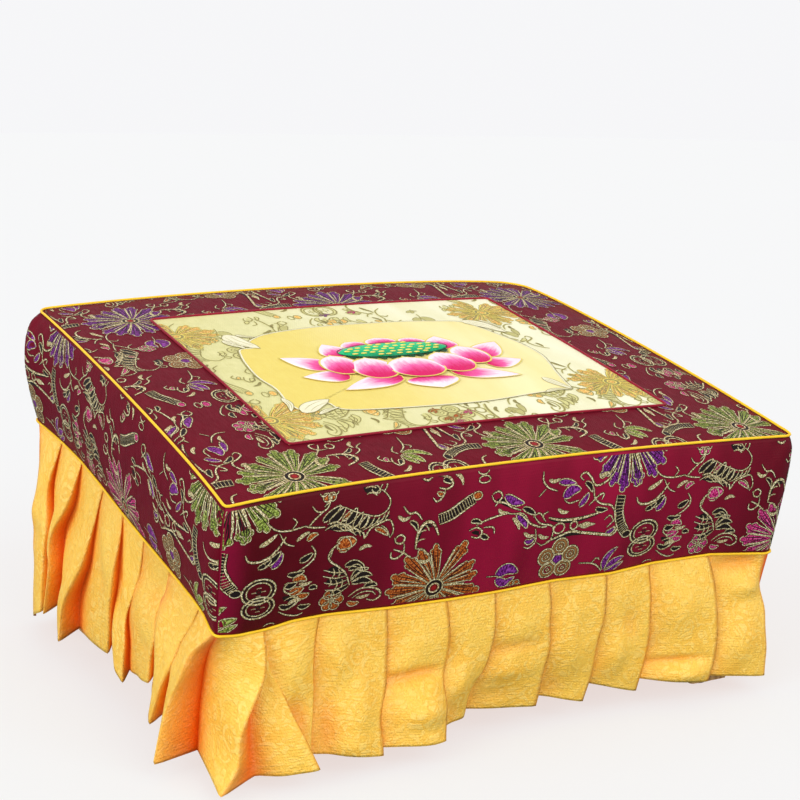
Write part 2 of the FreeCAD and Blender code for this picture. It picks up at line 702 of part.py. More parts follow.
# Lotus, from the front petal back, as base, tip and width in shares of half the lotus width
PETALS = [
    ((-0.01, -0.53), (-0.01, -0.05), 0.50),
    ((-0.38, -0.46), (-0.36, 0.01), 0.42), ((0.36, -0.46), (0.34, 0.01), 0.42),
    ((-0.60, -0.30), (-0.63, 0.15), 0.38), ((0.60, -0.30), (0.63, 0.15), 0.38),
]
BACK_PETALS = [
    ((-0.01, -0.36), (-0.01, -0.71), 0.46),
    ((-0.24, -0.42), (-0.80, -0.57), 0.24), ((0.24, -0.42), (0.78, -0.57), 0.24),
    ((-0.56, -0.26), (-1.0, -0.24), 0.26), ((0.56, -0.26), (1.0, -0.23), 0.26),
    ((-0.66, -0.12), (-0.99, 0.18), 0.26), ((0.66, -0.12), (0.99, 0.18), 0.26),
    ((-0.46, 0.08), (-0.53, 0.42), 0.30), ((0.46, 0.08), (0.53, 0.42), 0.30),
    ((-0.30, 0.12), (-0.32, 0.45), 0.26), ((0.30, 0.12), (0.31, 0.45), 0.26),
    ((0, 0.14), (-0.01, 0.49), 0.28),
]
# Seed pod: middle, half width and half height, and its end radius as a share of the half height
POD = (0, 0.16, 0.50, 0.16)
POD_END = 0.55
lotus_scale = S.lotus_width.value / 2


def petal_face(base, tip, width):
    """A leaf shape between two arcs."""
    low = Vector(base[0], base[1], 0) * lotus_scale
    high = Vector(tip[0], tip[1], 0) * lotus_scale
    run = high - low
    side = Vector(-run.y, run.x, 0).normalize() * (width * lotus_scale / 2)
    middle = low + run * 0.5
    wire = Part.Wire([Part.Arc(low, middle + side, high).toShape(), Part.Arc(high, middle - side, low).toShape()])
    return Part.Face(wire)


def pod_face():
    """The seed pod's oval: a broad arc above and below, and a tight one at each end."""
    x, y, wide, high = [number * lotus_scale for number in POD]
    tight = high * POD_END
    broad = (wide * wide + high * high - 2 * wide * tight) / (2 * (high - tight))
    lean = Vector(wide - tight, broad - high, 0).normalize() * tight
    turn_x = wide - tight + lean.x
    spots = [(turn_x, -lean.y), (wide, 0), (turn_x, lean.y), (0, high),
             (-turn_x, lean.y), (-wide, 0), (-turn_x, -lean.y), (0, -high)]
    points = [Vector(x + a, y + b, 0) for a, b in spots]
    edges = [Part.Arc(points[i], points[i + 1], points[(i + 2) % 8]).toShape() for i in (0, 2, 4, 6)]
    return Part.Face(Part.Wire(edges))


def stitched(name, faces):
    """Raised embroidery on the crown, one solid for each flat face."""
    low = (S.cloth_gap + S.panel_cloth + S.cloth_gap / 2).value
    shell = crown_shell(name + "_shell", S.cloth_gap + S.panel_cloth + S.cloth_gap / 2,
                        S.cloth_gap + S.panel_cloth + S.cloth_gap / 2 + S.stitch_height)
    doc.recompute()
    solids = []
    for face in faces:
        block = face.copy()
        block.translate(Vector(0, 0, low - S.crown.value))
        raised = block.extrude(Vector(0, 0, 3 * S.crown.value)).common(shell.Shape)
        solids.extend(raised.Solids)
    group = sewn(name, Part.makeCompound(solids))
    place_on_seat(group)
    keep(name, group)


front_faces = []
petal_faces = []
for petal in PETALS:
    face = petal_face(*petal)
    petal_faces.extend(face.cut(front_faces).Faces if front_faces else [face])
    front_faces.append(face)
pod_faces = pod_face().cut(front_faces).Faces
front_faces.append(pod_face())
for petal in BACK_PETALS:
    face = petal_face(*petal)
    petal_faces.extend(face.cut(front_faces).Faces)
    front_faces.append(face)
stitched("lotus_petals", petal_faces)
stitched("lotus_pod", pod_faces)


# Skirt: knife pleats that run round the bench against the clock, seen from above
skirt_drop = S.band_height + S.piping_width + S.cloth_gap
skirt_y = (seat_y + skirt_drop * sin_slope).value
skirt_half = {"x": half_width, "y": half_depth * cos_slope.value}
hem_level = S.hem_clearance.value
SKIRTS = [("front", Vector(1, 0, 0), Vector(0, -1, 0), "x", "y", FRONT_PLEATS),
          ("right", Vector(0, 1, 0), Vector(1, 0, 0), "y", "x", SIDE_PLEATS),
          ("rear", Vector(-1, 0, 0), Vector(0, 1, 0), "x", "y", FRONT_PLEATS),
          ("left", Vector(0, -1, 0), Vector(-1, 0, 0), "y", "x", SIDE_PLEATS)]


def pleat_line(half, count, tuck, reach, lap, corner):
    """Fold points along one side as (distance along, distance out), to the next side's first fold."""
    step = 2 * half / count
    joint = S.cloth_gap.value + S.skirt_cloth.value
    points = [(-half + tuck + joint, -tuck)]
    for i in range(1, count):
        points.append((-half + i * step + lap, reach))
        points.append((-half + i * step, -tuck))
    points.append((half + corner, corner))
    points.append((half - tuck, -tuck))
    return points


def thickened(points, thickness):
    """The outline of a folded strip: each fold point pushed to both sides of the line."""
    sides = ([], [])
    count = len(points)
    for i, point in enumerate(points):
        here = Vector(point[0], point[1], 0)
        before = Vector(points[max(i - 1, 0)][0], points[max(i - 1, 0)][1], 0)
        after = Vector(points[min(i + 1, count - 1)][0], points[min(i + 1, count - 1)][1], 0)
        runs = [run.normalize() for run in (here - before, after - here) if run.Length > 0]
        normals = [Vector(-run.y, run.x, 0) for run in runs]
        mitre = normals[0] + normals[-1]
        mitre = mitre * (thickness / (mitre.dot(normals[0])) / 2)
        sides[0].append(here + mitre)
        sides[1].append(here - mitre)
    return sides[0] + sides[1][::-1]


for name, along, out, axis, other, count in SKIRTS:
    half = skirt_half[axis]
    top_line = pleat_line(half, count, S.pleat_step.value / 2, S.pleat_step.value / 2, S.pleat_lap.value,
                          S.pleat_step.value / 2)
    hem_line = pleat_line(half, count, S.hem_tuck.value, S.hem_reach.value, S.hem_lap.value, S.corner_reach.value)
    sections = []
    for height, spread in ((1, 0), (0.5, 0.62), (0, 1)):
        line = [(a + (c - a) * spread, b + (d - b) * spread) for (a, b), (c, d) in zip(top_line, hem_line)]
        spots = []
        for spot in thickened(line, S.skirt_cloth.value):
            place_at = along * spot.x + out * (skirt_half[other] + spot.y) + Vector(0, skirt_y, 0)
            top_level = slope_level(place_at.y, skirt_drop).value
            spots.append(Vector(place_at.x, place_at.y, hem_level + (top_level - hem_level) * height))
        sections.append(Part.makePolygon(spots + spots[:1]))
    skirt = sewn(f"skirt_{name}", Part.makeLoft(sections, True, True))
    keep(f"skirt_{name}", skirt)

# Checks on the finished document
doc.recompute()
for thing in doc.Objects:
    if "Invalid" in thing.State or "Error" in thing.State:
        raise RuntimeError(f"{thing.Label} failed: {thing.State}")
for name, thing in nodes.items():
    shape = thing.Shape
    if shape.isNull() or not shape.isValid() or not shape.Solids:
        raise RuntimeError(f"{name} has no valid solid")
    if min(solid.Volume for solid in shape.Solids) <= 0:
        raise RuntimeError(f"{name} has an inverted solid")

os.makedirs("parts", exist_ok=True)
for name, thing in nodes.items():
    thing.Shape.exportStep(f"parts/{name}.step")
box = Part.makeCompound([thing.Shape for thing in nodes.values()]).BoundBox
print(len(nodes), "nodes, box", box)
for name, thing in nodes.items():
    print(f"{name}: {len(thing.Shape.Solids)} solids, {thing.Shape.Volume:.1f} mm3")
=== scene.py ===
import math
import random

import bmesh
import bpy
import numpy as np
from mathutils import Matrix, Vector


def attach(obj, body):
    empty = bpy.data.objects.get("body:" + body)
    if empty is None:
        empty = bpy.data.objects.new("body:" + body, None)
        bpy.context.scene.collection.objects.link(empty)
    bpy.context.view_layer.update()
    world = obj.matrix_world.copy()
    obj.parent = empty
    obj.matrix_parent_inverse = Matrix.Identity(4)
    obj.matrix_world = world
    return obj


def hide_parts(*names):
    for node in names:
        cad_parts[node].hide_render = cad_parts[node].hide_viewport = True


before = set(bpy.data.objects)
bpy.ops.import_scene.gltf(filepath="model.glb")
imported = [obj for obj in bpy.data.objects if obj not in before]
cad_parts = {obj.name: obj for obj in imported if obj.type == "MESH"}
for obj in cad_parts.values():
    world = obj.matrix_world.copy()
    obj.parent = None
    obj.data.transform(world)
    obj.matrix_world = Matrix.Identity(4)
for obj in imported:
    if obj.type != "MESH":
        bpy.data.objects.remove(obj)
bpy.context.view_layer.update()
scene = bpy.context.scene

# Sizes of the cover, in millimetres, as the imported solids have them. Corners go by their sides, across and up
MM = 0.001
WIDTH = 600.0
DEPTH = 520.0
SLOPE = math.radians(10.5)
FRONT_HEIGHT = 263.0
BAND = 121.0
CROWN = 13.0
CORNER_ROUND = {(-1, -1): 4.0, (1, -1): 9.0, (1, 1): 26.0, (-1, 1): 12.0}
SEAM_INSET = 2.0
HALF_U = WIDTH / 2 - SEAM_INSET
HALF_V = DEPTH / 2 - SEAM_INSET
SIN = math.sin(SLOPE)
COS = math.cos(SLOPE)
SEAT_Y = -BAND * SIN
SEAT_Z = FRONT_HEIGHT + DEPTH / 2 * SIN
CROWN_RADIUS = ((WIDTH ** 2 + DEPTH ** 2) / 4 + CROWN ** 2) / (2 * CROWN)
SIDES = ("front", "right", "rear", "left")


# Small helpers for points, meshes and node trees

def seat(u, v, n):
    """Points in metres from across, up the slope and out of the sloping seat."""
    u, v, n = np.broadcast_arrays(np.asarray(u, float), np.asarray(v, float), np.asarray(n, float))
    y = SEAT_Y + v * COS - n * SIN
    z = SEAT_Z + v * SIN + n * COS
    return np.stack([u, y, z], -1) * MM


def smooth(points, count):
    """A smooth line of count points through a few control points."""
    p = np.asarray(points, float)
    p = p.reshape(len(p), -1)
    ends = np.concatenate([2 * p[:1] - p[1:2], p, 2 * p[-1:] - p[-2:-1]])
    place = np.linspace(0, len(p) - 1, count)
    k = np.minimum(place.astype(int), len(p) - 2)
    f = (place - k)[:, None]
    a, b, c, d = ends[k], ends[k + 1], ends[k + 2], ends[k + 3]
    cubic = -a + 3 * b - 3 * c + d
    square = 2 * a - 5 * b + 4 * c - d
    return 0.5 * (2 * b + (c - a) * f + square * f ** 2 + cubic * f ** 3)


def closed_line(points, count):
    """A smooth closed line through a ring of control points, its last point apart from its first."""
    p = list(points)
    each = max(2, count // len(p))
    wrapped = p[-2:] + p + p[:3]
    line = smooth(wrapped, (len(wrapped) - 1) * each + 1)
    return line[2 * each:(2 + len(p)) * each]


def finer(points, times, axis):
    """The same grid with smooth rows added between its rows."""
    p = np.moveaxis(points, axis, 0)
    shape = p.shape
    line = smooth(p.reshape(shape[0], -1), (shape[0] - 1) * times + 1)
    return np.moveaxis(line.reshape((-1,) + shape[1:]), 0, axis)


def rim(grid):
    """The outer points of a grid in order, along its first row and on round it."""
    return np.concatenate([grid[0, :-1], grid[:-1, -1], grid[-1, :0:-1], grid[:0:-1, 0]])


def sideways(spine):
    """Unit directions across a flat line, to its left."""
    step = np.gradient(spine, axis=0)
    side = np.stack([-step[:, 1], step[:, 0]], -1)
    return side / np.maximum(np.linalg.norm(side, axis=1, keepdims=True), 1e-6)


def feed(tree, made, inputs):
    """Sets the inputs of a node. A socket given as an input is linked."""
    for name, value in inputs.items():
        if isinstance(value, bpy.types.NodeSocket):
            tree.links.new(value, made.inputs[name])
        else:
            made.inputs[name].default_value = value


def put(tree, kind, settings=None, inputs=None):
    """A new node with its settings and inputs."""
    made = tree.nodes.new(kind)
    for name, value in (settings or {}).items():
        setattr(made, name, value)
    feed(tree, made, inputs or {})
    return made


def maths(tree, operation, a, b=0.0, c=0.0):
    """What one operation makes of up to three values."""
    return put(tree, "ShaderNodeMath", {"operation": operation}, {0: a, 1: b, 2: c}).outputs[0]


def blended(tree, a, share, b, other):
    """One value times its share, plus another times its own."""
    return maths(tree, "MULTIPLY_ADD", a, share, maths(tree, "MULTIPLY", b, other))


def mixed(tree, factor, a, b):
    """A colour between two colours."""
    return put(tree, "ShaderNodeMix", {"data_type": "RGBA"}, {0: factor, 6: a, 7: b}).outputs[2]


def ranged(tree, value, low, high, to_low, to_high):
    """A value moved from one range to another and kept inside it."""
    made = put(tree, "ShaderNodeMapRange", None, {0: value, 1: low, 2: high, 3: to_low, 4: to_high})
    return made.outputs[0]


def noise(tree, place, scale, detail, roughness=0.5):
    """Cloudy noise over a place."""
    return put(tree, "ShaderNodeTexNoise", None,
               {"Vector": place, "Scale": scale, "Detail": detail, "Roughness": roughness})


def stretched(tree, place, scale, turn=0.0):
    """A place turned in its plane and scaled by axis."""
    made = put(tree, "ShaderNodeMapping", None, {"Vector": place, "Rotation": (0, 0, turn), "Scale": scale})
    return made.outputs[0]


def rgb(r, g, b):
    """A linear colour from the 0 to 255 values that a screen shows."""
    def line(c):
        c = c / 255
        return c / 12.92 if c <= 0.04045 else ((c + 0.055) / 1.055) ** 2.4
    return (line(r), line(g), line(b), 1.0)


def mesh_from(name, points, faces, uv=None, tint=None):
    """A mesh from points, faces and, by point, a flat cloth place and a tint."""
    mesh = bpy.data.meshes.new(name)
    mesh.from_pydata([tuple(p) for p in np.asarray(points, float)], [], [tuple(f) for f in faces])
    corner = np.zeros(len(mesh.loops), np.int64)
    mesh.loops.foreach_get("vertex_index", corner)
    if uv is not None:
        layer = mesh.uv_layers.new(name="cloth")
        layer.data.foreach_set("uv", np.asarray(uv, np.float32)[corner].ravel())
    if tint is not None:
        layer = mesh.attributes.new("tint", "FLOAT", "POINT")
        layer.data.foreach_set("value", np.asarray(tint, np.float32))
    mesh.shade_smooth()
    return mesh


def grid_faces(rows, columns, start=0, ring=False):
    """Quads of a grid of rows and columns of points."""
    faces = []
    last = columns if ring else columns - 1
    for r in range(rows - 1):
        for c in range(last):
            d = (c + 1) % columns
            faces.append((start + r * columns + c, start + r * columns + d,
                          start + (r + 1) * columns + d, start + (r + 1) * columns + c))
    return faces


def disc_faces(rings, count):
    """Faces of rings of points round a middle point, all facing one way."""
    fan = [(0, 1 + (i + 1) % count, 1 + i) for i in range(count)]
    return [face[::-1] for face in fan + grid_faces(rings, count, 1, True)]


def between(above, below):
    """Quads between two rings of point numbers."""
    count = len(above)
    return [(above[c], below[c], below[(c + 1) % count], above[(c + 1) % count]) for c in range(count)]


def fan(ring, hub):
    """Triangles from a ring of point numbers to one point."""
    return [(ring[c], hub, ring[(c + 1) % len(ring)]) for c in range(len(ring))]


def face_out(mesh):
    """Turns the faces of a closed mesh outward."""
    work = bmesh.new()
    work.from_mesh(mesh)
    bmesh.ops.recalc_face_normals(work, faces=work.faces)
    work.to_mesh(mesh)
    work.free()


def placed(name, data):
    """A new object in the scene."""
    made = bpy.data.objects.new(name, data)
    scene.collection.objects.link(made)
    return made


def piece(name, mesh, materials, replaces=()):
    """A finished piece of the cushion. A grown mesh comes with its materials."""
    made = placed(name, mesh)
    for material in materials or ():
        mesh.materials.append(material)
    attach(made, "cushion")
    if replaces:
        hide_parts(*replaces)
    return made


def thicken(made, thickness, offset=-1.0):
    """Gives a sheet its cloth thickness."""
    wall = made.modifiers.new("cloth thickness", "SOLIDIFY")
    wall.thickness = thickness * MM
    wall.offset = offset
    return made


# Camera at the photograph's angle

VIEW_AZIMUTH = math.radians(-28.522)
VIEW_HEIGHT = math.radians(11.08)
VIEW_ROLL = math.radians(0.603)
VIEW_DISTANCE = 1.731966
VIEW_TARGET = Vector((-0.000282, SEAT_Y * MM, 0.280029))
VIEW_LENS = 76.577


def make_camera():
    """The camera, fitted to the seam corners of the cover."""
    back = Vector((math.sin(VIEW_AZIMUTH) * math.cos(VIEW_HEIGHT),
                   -math.cos(VIEW_AZIMUTH) * math.cos(VIEW_HEIGHT),
                   math.sin(VIEW_HEIGHT)))
    right = (-back).cross(Vector((0, 0, 1))).normalized()
    up = back.cross(right)
    across = right * math.cos(VIEW_ROLL) + up * math.sin(VIEW_ROLL)
    above = up * math.cos(VIEW_ROLL) - right * math.sin(VIEW_ROLL)
    lens = bpy.data.cameras.new("photo_view")
    lens.lens = VIEW_LENS
    lens.sensor_width = 36.0
    lens.sensor_fit = "HORIZONTAL"
    lens.clip_end = 100.0
    made = placed("photo_view", lens)
    turn = Matrix((across, above, back)).transposed()
    made.matrix_world = Matrix.Translation(VIEW_TARGET + back * VIEW_DISTANCE) @ turn.to_4x4()
    scene.camera = made
    scene.view_settings.view_transform = "Standard"


# Floor, world and lamps

# The floor's glow is pinker than its colour, so its shadows are painted pink, standing in for light bounced off
# the skirt.
FLOOR_COLOUR = (0.125, 0.22, 0.255, 1.0)
FLOOR_GLOW = (0.785, 0.68, 0.65, 1.0)
FLOOR_RADIUS = 14.0
FLOOR_RINGS = 6
FLOOR_TURNS = 64
BACKGROUND_COLOUR = (0.925, 0.925, 0.94, 1.0)
SKY_COLOUR = (1.0, 0.995, 0.985, 1.0)
SKY_STRENGTH = 0.70
LAMP_COLOUR = (1.0, 0.985, 0.96)
LAMPS = (("key lamp", 1.52, 50, (62, 8, 8)), ("left lamp", 2.4, 60, (12, -72, 0)))


def make_world():
    """A pale room that lights the bench evenly and is almost white behind it."""
    world = bpy.data.worlds.new("studio")
    scene.world = world
    world.use_nodes = True
    tree = world.node_tree
    tree.nodes.clear()
    path = put(tree, "ShaderNodeLightPath")
    seen = maths(tree, "MAXIMUM", path.outputs["Is Camera Ray"], path.outputs["Is Transmission Ray"])
    light = put(tree, "ShaderNodeBackground", None, {"Color": SKY_COLOUR, "Strength": SKY_STRENGTH})
    shown = put(tree, "ShaderNodeBackground", None, {"Color": BACKGROUND_COLOUR, "Strength": 1.0})
    mix = put(tree, "ShaderNodeMixShader", None, {0: seen, 1: light.outputs[0], 2: shown.outputs[0]})
    put(tree, "ShaderNodeOutputWorld", None, {0: mix.outputs[0]})


def make_floor():
    """A round floor that glows to the camera, so that it is pale and its shadows are faint."""
    points = [(0.0, 0.0, 0.0)]
    for k in range(1, FLOOR_RINGS + 1):
        out = FLOOR_RADIUS * k / FLOOR_RINGS
        for i in range(FLOOR_TURNS):
            turn = 2 * math.pi * i / FLOOR_TURNS
            points.append((out * math.cos(turn), out * math.sin(turn), 0.0))
    mesh = mesh_from("floor", points, disc_faces(FLOOR_RINGS, FLOOR_TURNS))
    floor = placed("floor", mesh)
    material, tree, shader = blank("pale floor")
    place = put(tree, "ShaderNodeTexCoord").outputs["Object"]
    lighter = tuple(c * 1.015 for c in FLOOR_COLOUR[:3]) + (1.0,)
    feed(tree, shader, {
        "Base Color": mixed(tree, noise(tree, place, 3.0, 4.0).outputs["Fac"], FLOOR_COLOUR, lighter),
        "Roughness": 0.9,
        "Specular IOR Level": 0.0,
        "Emission Color": FLOOR_GLOW,
        "Emission Strength": put(tree, "ShaderNodeLightPath").outputs["Is Camera Ray"],
    })
    mesh.materials.append(material)


def make_lamps():
    """Two broad lamps, one from the front and one from the left."""
    for name, strength, angle, turn in LAMPS:
        lamp = bpy.data.lights.new(name, "SUN")
        lamp.energy = strength
        lamp.angle = math.radians(angle)
        lamp.color = LAMP_COLOUR
        placed(name, lamp).rotation_euler = [math.radians(a) for a in turn]


# Shader groups shared by the materials

def shader_group(name, inputs, outputs):
    """An empty group with a place, inputs at their usual values, and outputs."""
    tree = bpy.data.node_groups.new(name, "ShaderNodeTree")
    tree.interface.new_socket(name="Vector", in_out="INPUT", socket_type="NodeSocketVector")
    for label, value in inputs.items():
        socket = tree.interface.new_socket(name=label, in_out="INPUT", socket_type="NodeSocketFloat")
        socket.default_value = value
    for label in outputs:
        tree.interface.new_socket(name=label, in_out="OUTPUT", socket_type="NodeSocketFloat")
    return tree, tree.nodes.new("NodeGroupInput"), tree.nodes.new("NodeGroupOutput")


def make_weave():
    """Satin weave: threads along and across, with a little uneven lustre."""
    tree, start, end = shader_group("satin weave", {"Threads": 900.0}, ["Height", "Lustre"])
    place = start.outputs["Vector"]
    scaled = put(tree, "ShaderNodeVectorMath", {"operation": "SCALE"},
                 {0: place, "Scale": start.outputs["Threads"]})
    parts = put(tree, "ShaderNodeSeparateXYZ", None, {0: scaled.outputs[0]})
    warp = maths(tree, "SINE", maths(tree, "MULTIPLY", parts.outputs[0], math.pi))
    weft = maths(tree, "SINE", maths(tree, "MULTIPLY", parts.outputs[1], math.pi * 0.45))
    over = maths(tree, "GREATER_THAN", maths(tree, "MULTIPLY", warp, weft), -0.35)
    height = maths(tree, "MULTIPLY_ADD", maths(tree, "ABSOLUTE", warp), over, maths(tree, "ABSOLUTE", weft))
    lustre = noise(tree, stretched(tree, place, (420, 60, 420)), 1.0, 3.0).outputs["Fac"]
    feed(tree, end, {"Height": height, "Lustre": lustre})
    return tree


def make_mottle():
    """Slow uneven change over a surface."""
    tree, start, end = shader_group("slow mottle", {"Size": 20.0}, ["Value"])
    cloud = noise(tree, start.outputs["Vector"], start.outputs["Size"], 5.0, 0.55)
    feed(tree, end, {"Value": ranged(tree, cloud.outputs["Fac"], 0.3, 0.7, 0.0, 1.0)})
    return tree


def make_jacquard():
    """Tone on tone flowers and scrolls woven into a satin."""
    tree, start, end = shader_group("jacquard flowers", {"Size": 26.0}, ["Mask"])
    place = start.outputs["Vector"]
    size = start.outputs["Size"]
    stray = noise(tree, place, 60.0, 1.0).outputs["Color"]
    bent = put(tree, "ShaderNodeVectorMath", {"operation": "MULTIPLY_ADD"},
               {0: stray, 1: (0.012, 0.012, 0.0), 2: place}).outputs[0]
    cells = put(tree, "ShaderNodeTexVoronoi", {"feature": "F1"},
                {"Vector": bent, "Scale": size, "Randomness": 0.75})
    rings = maths(tree, "SINE", maths(tree, "MULTIPLY", cells.outputs["Distance"], 21.0))
    petal = ranged(tree, rings, -0.1, 0.35, 0.0, 1.0)
    veins = put(tree, "ShaderNodeTexVoronoi", {"feature": "DISTANCE_TO_EDGE"},
                {"Vector": bent, "Scale": maths(tree, "MULTIPLY", size, 2.3)})
    between_veins = ranged(tree, veins.outputs["Distance"], 0.03, 0.10, 0.0, 1.0)
    feed(tree, end, {"Mask": maths(tree, "MULTIPLY", petal, between_veins)})
    return tree


def make_grain():
    """Long wood grain along the first axis of its place."""
    tree, start, end = shader_group("wood grain", {}, ["Rings", "Pores"])
    place = start.outputs["Vector"]
    drawn = stretched(tree, place, (2.2, 26.0, 26.0))
    bent = put(tree, "ShaderNodeVectorMath", {"operation": "MULTIPLY_ADD"},
               {0: noise(tree, drawn, 0.7, 3.0).outputs["Color"], 1: (1.5, 1.5, 1.5), 2: drawn})
    rings = put(tree, "ShaderNodeTexWave", {"wave_type": "BANDS", "bands_direction": "Y"},
                {"Vector": bent.outputs[0], "Scale": 1.3, "Distortion": 2.0, "Detail": 2.0})
    pores = noise(tree, stretched(tree, place, (30.0, 900.0, 900.0)), 1.0, 2.0)
    feed(tree, end, {"Rings": rings.outputs["Fac"],
                     "Pores": ranged(tree, pores.outputs["Fac"], 0.35, 0.6, 0.0, 1.0)})
    return tree


WEAVE = make_weave()
MOTTLE = make_mottle()
JACQUARD = make_jacquard()
GRAIN = make_grain()


def grouped(tree, group, inputs):
    """A shared group with its inputs."""
    return put(tree, "ShaderNodeGroup", {"node_tree": group}, inputs)


def blank(name):
    """A new material with its tree and shader."""
    made = bpy.data.materials.new(name)
    made.use_nodes = True
    return made, made.node_tree, made.node_tree.nodes["Principled BSDF"]


def bumped(tree, height, strength, distance):
    """A normal with fine relief."""
    return put(tree, "ShaderNodeBump", None,
               {"Height": height, "Strength": strength, "Distance": distance}).outputs[0]


def cloth_place(tree, uv="cloth"):
    """The flat place of a cloth or thread."""
    return put(tree, "ShaderNodeUVMap", {"uv_map": uv}).outputs[0]


def point_tint(tree):
    """The tint that the mesh carries by point."""
    return put(tree, "ShaderNodeAttribute", {"attribute_name": "tint"}).outputs["Fac"]


def satin(name, colour, deep, threads, roughness, sheen, sheen_tint, uv="cloth", specks=None, painted_sheen=(),
          shine=0.25):
    """Woven satin cloth or thread with an uneven lustre, with dark specks and painted glints, and with painted
    sheen in broad streaky bands.
    """
    made, tree, shader = blank(name)
    place = cloth_place(tree, uv)
    weave = grouped(tree, WEAVE, {"Vector": place, "Threads": threads})
    lustre = weave.outputs["Lustre"]
    mottle = grouped(tree, MOTTLE, {"Vector": place, "Size": 60.0})
    cloth = mixed(tree, blended(tree, lustre, 0.5, mottle.outputs[0], 0.5), deep, colour)
    along = put(tree, "ShaderNodeSeparateXYZ", None, {0: place}).outputs[0]
    # Painted sheen: lighter colour in broad bands along the cloth, made streaky by a stretched noise; the noise
    # is painted sheen streaks, not folds in the cloth.
    for middle, reach, bright, least in painted_sheen:
        folds = noise(tree, stretched(tree, place, (18, 4, 1), 0.12), 1.0, 2.0)
        painted_sheen_streaks = ranged(tree, folds.outputs["Fac"], 0.34, 0.66, least, 1.0)
        away = maths(tree, "ABSOLUTE", maths(tree, "SUBTRACT", along, middle))
        near = put(tree, "ShaderNodeMapRange", {"interpolation_type": "SMOOTHSTEP"},
                   {0: away, 1: reach, 2: 0.0})
        cloth = mixed(tree, maths(tree, "MULTIPLY", near.outputs[0], painted_sheen_streaks), cloth, bright)
    # Painted glints: light specks in the painted glint colour, with dark specks of the thread between them.
    if specks:
        size, dark, painted_glint = specks
        speck = noise(tree, place, size, 1.0).outputs["Fac"]
        cloth = mixed(tree, ranged(tree, speck, 0.54, 0.6, 0.0, 1.0), cloth, painted_glint)
        cloth = mixed(tree, ranged(tree, speck, 0.46, 0.41, 0.0, 0.9), cloth, dark)
    feed(tree, shader, {
        "Base Color": cloth,
        "Roughness": ranged(tree, lustre, 0.2, 0.8, roughness + 0.08, roughness - 0.08),
        "Sheen Weight": sheen,
        "Sheen Roughness": 0.4,
        "Sheen Tint": sheen_tint,
        "Specular IOR Level": shine,
        "Normal": bumped(tree, weave.outputs["Height"], 0.25, 0.0003),
    })
    return made


# A faint warm emission of the skirt satin: a painted glow that stands in for light shining through and between
# its folds.
PAINTED_WARM_GLOW = (0.35, 0.13, 0.0, 1.0)


def figured_satin(name, colour, figure, shade, deep, roughness, size):
    """Satin with tone on tone flowers, with painted shade in deeper orange and a painted warm emission where
    its tint says so.
    """
    made, tree, shader = blank(name)
    place = cloth_place(tree)
    weave = grouped(tree, WEAVE, {"Vector": place, "Threads": 700.0})
    flowers = grouped(tree, JACQUARD, {"Vector": place, "Size": size}).outputs["Mask"]
    mottle = grouped(tree, MOTTLE, {"Vector": place, "Size": 24.0}).outputs[0]
    fine = grouped(tree, MOTTLE, {"Vector": place, "Size": 420.0}).outputs[0]
    hang = stretched(tree, place, (1.6, 0.8, 1), 0.5)
    crinkle = grouped(tree, MOTTLE, {"Vector": hang, "Size": 46.0}).outputs[0]
    ground = mixed(tree, blended(tree, mottle, 0.42, fine, 0.4), colour, shade)
    mask = maths(tree, "MULTIPLY", flowers, maths(tree, "MULTIPLY_ADD", mottle, 0.6, 0.12))
    cloth = mixed(tree, mask, ground, figure)
    painted_fold_shade = point_tint(tree)
    height = blended(tree, flowers, 0.4, fine, 0.7)
    for layer, amount in ((weave.outputs["Height"], 0.3), (crinkle, 2.2)):
        height = maths(tree, "MULTIPLY_ADD", layer, amount, height)
    feed(tree, shader, {
        # Painted shade and glow: where the tint is high the colour goes to deep orange and the cloth glows
        # warm.
        "Base Color": mixed(tree, painted_fold_shade, cloth, deep),
        "Emission Color": mixed(tree, painted_fold_shade, PAINTED_WARM_GLOW, deep),
        "Emission Strength": 0.18,
        "Roughness": ranged(tree, mask, 0.0, 1.0, roughness, roughness + 0.15),
        "Specular IOR Level": 0.45,
        "Normal": bumped(tree, height, 0.7, 0.0008),
    })
    return made


def silk_gradient(name, deep, middle, tip, threads=800.0):
    """Satin stitch that goes from one colour to another along its tint."""
    made, tree, shader = blank(name)
    weave = grouped(tree, WEAVE, {"Vector": cloth_place(tree), "Threads": threads})
    lustre = weave.outputs["Lustre"]
    uneven = maths(tree, "SUBTRACT", lustre, 0.5)
    ramp = put(tree, "ShaderNodeValToRGB", None,
               {0: maths(tree, "MULTIPLY_ADD", uneven, 0.35, point_tint(tree))})
    stops = ramp.color_ramp.elements
    stops[0].position = 0.2
    stops[0].color = deep
    stops[1].position = 0.72
    stops[1].color = tip
    stops.new(0.46).color = middle
    feed(tree, shader, {
        "Base Color": ramp.outputs[0],
        "Roughness": ranged(tree, lustre, 0.2, 0.8, 0.55, 0.38),
        "Specular IOR Level": 0.15,
        "Normal": bumped(tree, weave.outputs["Height"], 0.5, 0.0003),
    })
    return made


def wood(name, light, dark, axis):
    """Planed wood with its grain along one axis of the board."""
    made, tree, shader = blank(name)
    parts = put(tree, "ShaderNodeSeparateXYZ", None, {0: put(tree, "ShaderNodeTexCoord").outputs["Object"]})
    turned = {k: parts.outputs[(axis + k) % 3] for k in range(3)}
    place = put(tree, "ShaderNodeCombineXYZ", None, turned).outputs[0]
    grain = grouped(tree, GRAIN, {"Vector": place})
    mottle = grouped(tree, MOTTLE, {"Vector": place, "Size": 9.0})
    ring = mixed(tree, grain.outputs["Rings"], dark, light)
    worn = mixed(tree, maths(tree, "MULTIPLY", mottle.outputs[0], 0.35), ring, dark)
    pore = maths(tree, "SUBTRACT", 1.0, grain.outputs["Pores"])
    feed(tree, shader, {
        "Base Color": mixed(tree, maths(tree, "MULTIPLY", pore, 0.4), worn, dark),
        "Roughness": ranged(tree, grain.outputs["Pores"], 0.0, 1.0, 0.62, 0.45),
        "Normal": bumped(tree, grain.outputs["Pores"], 0.15, 0.0004),
    })
    return made


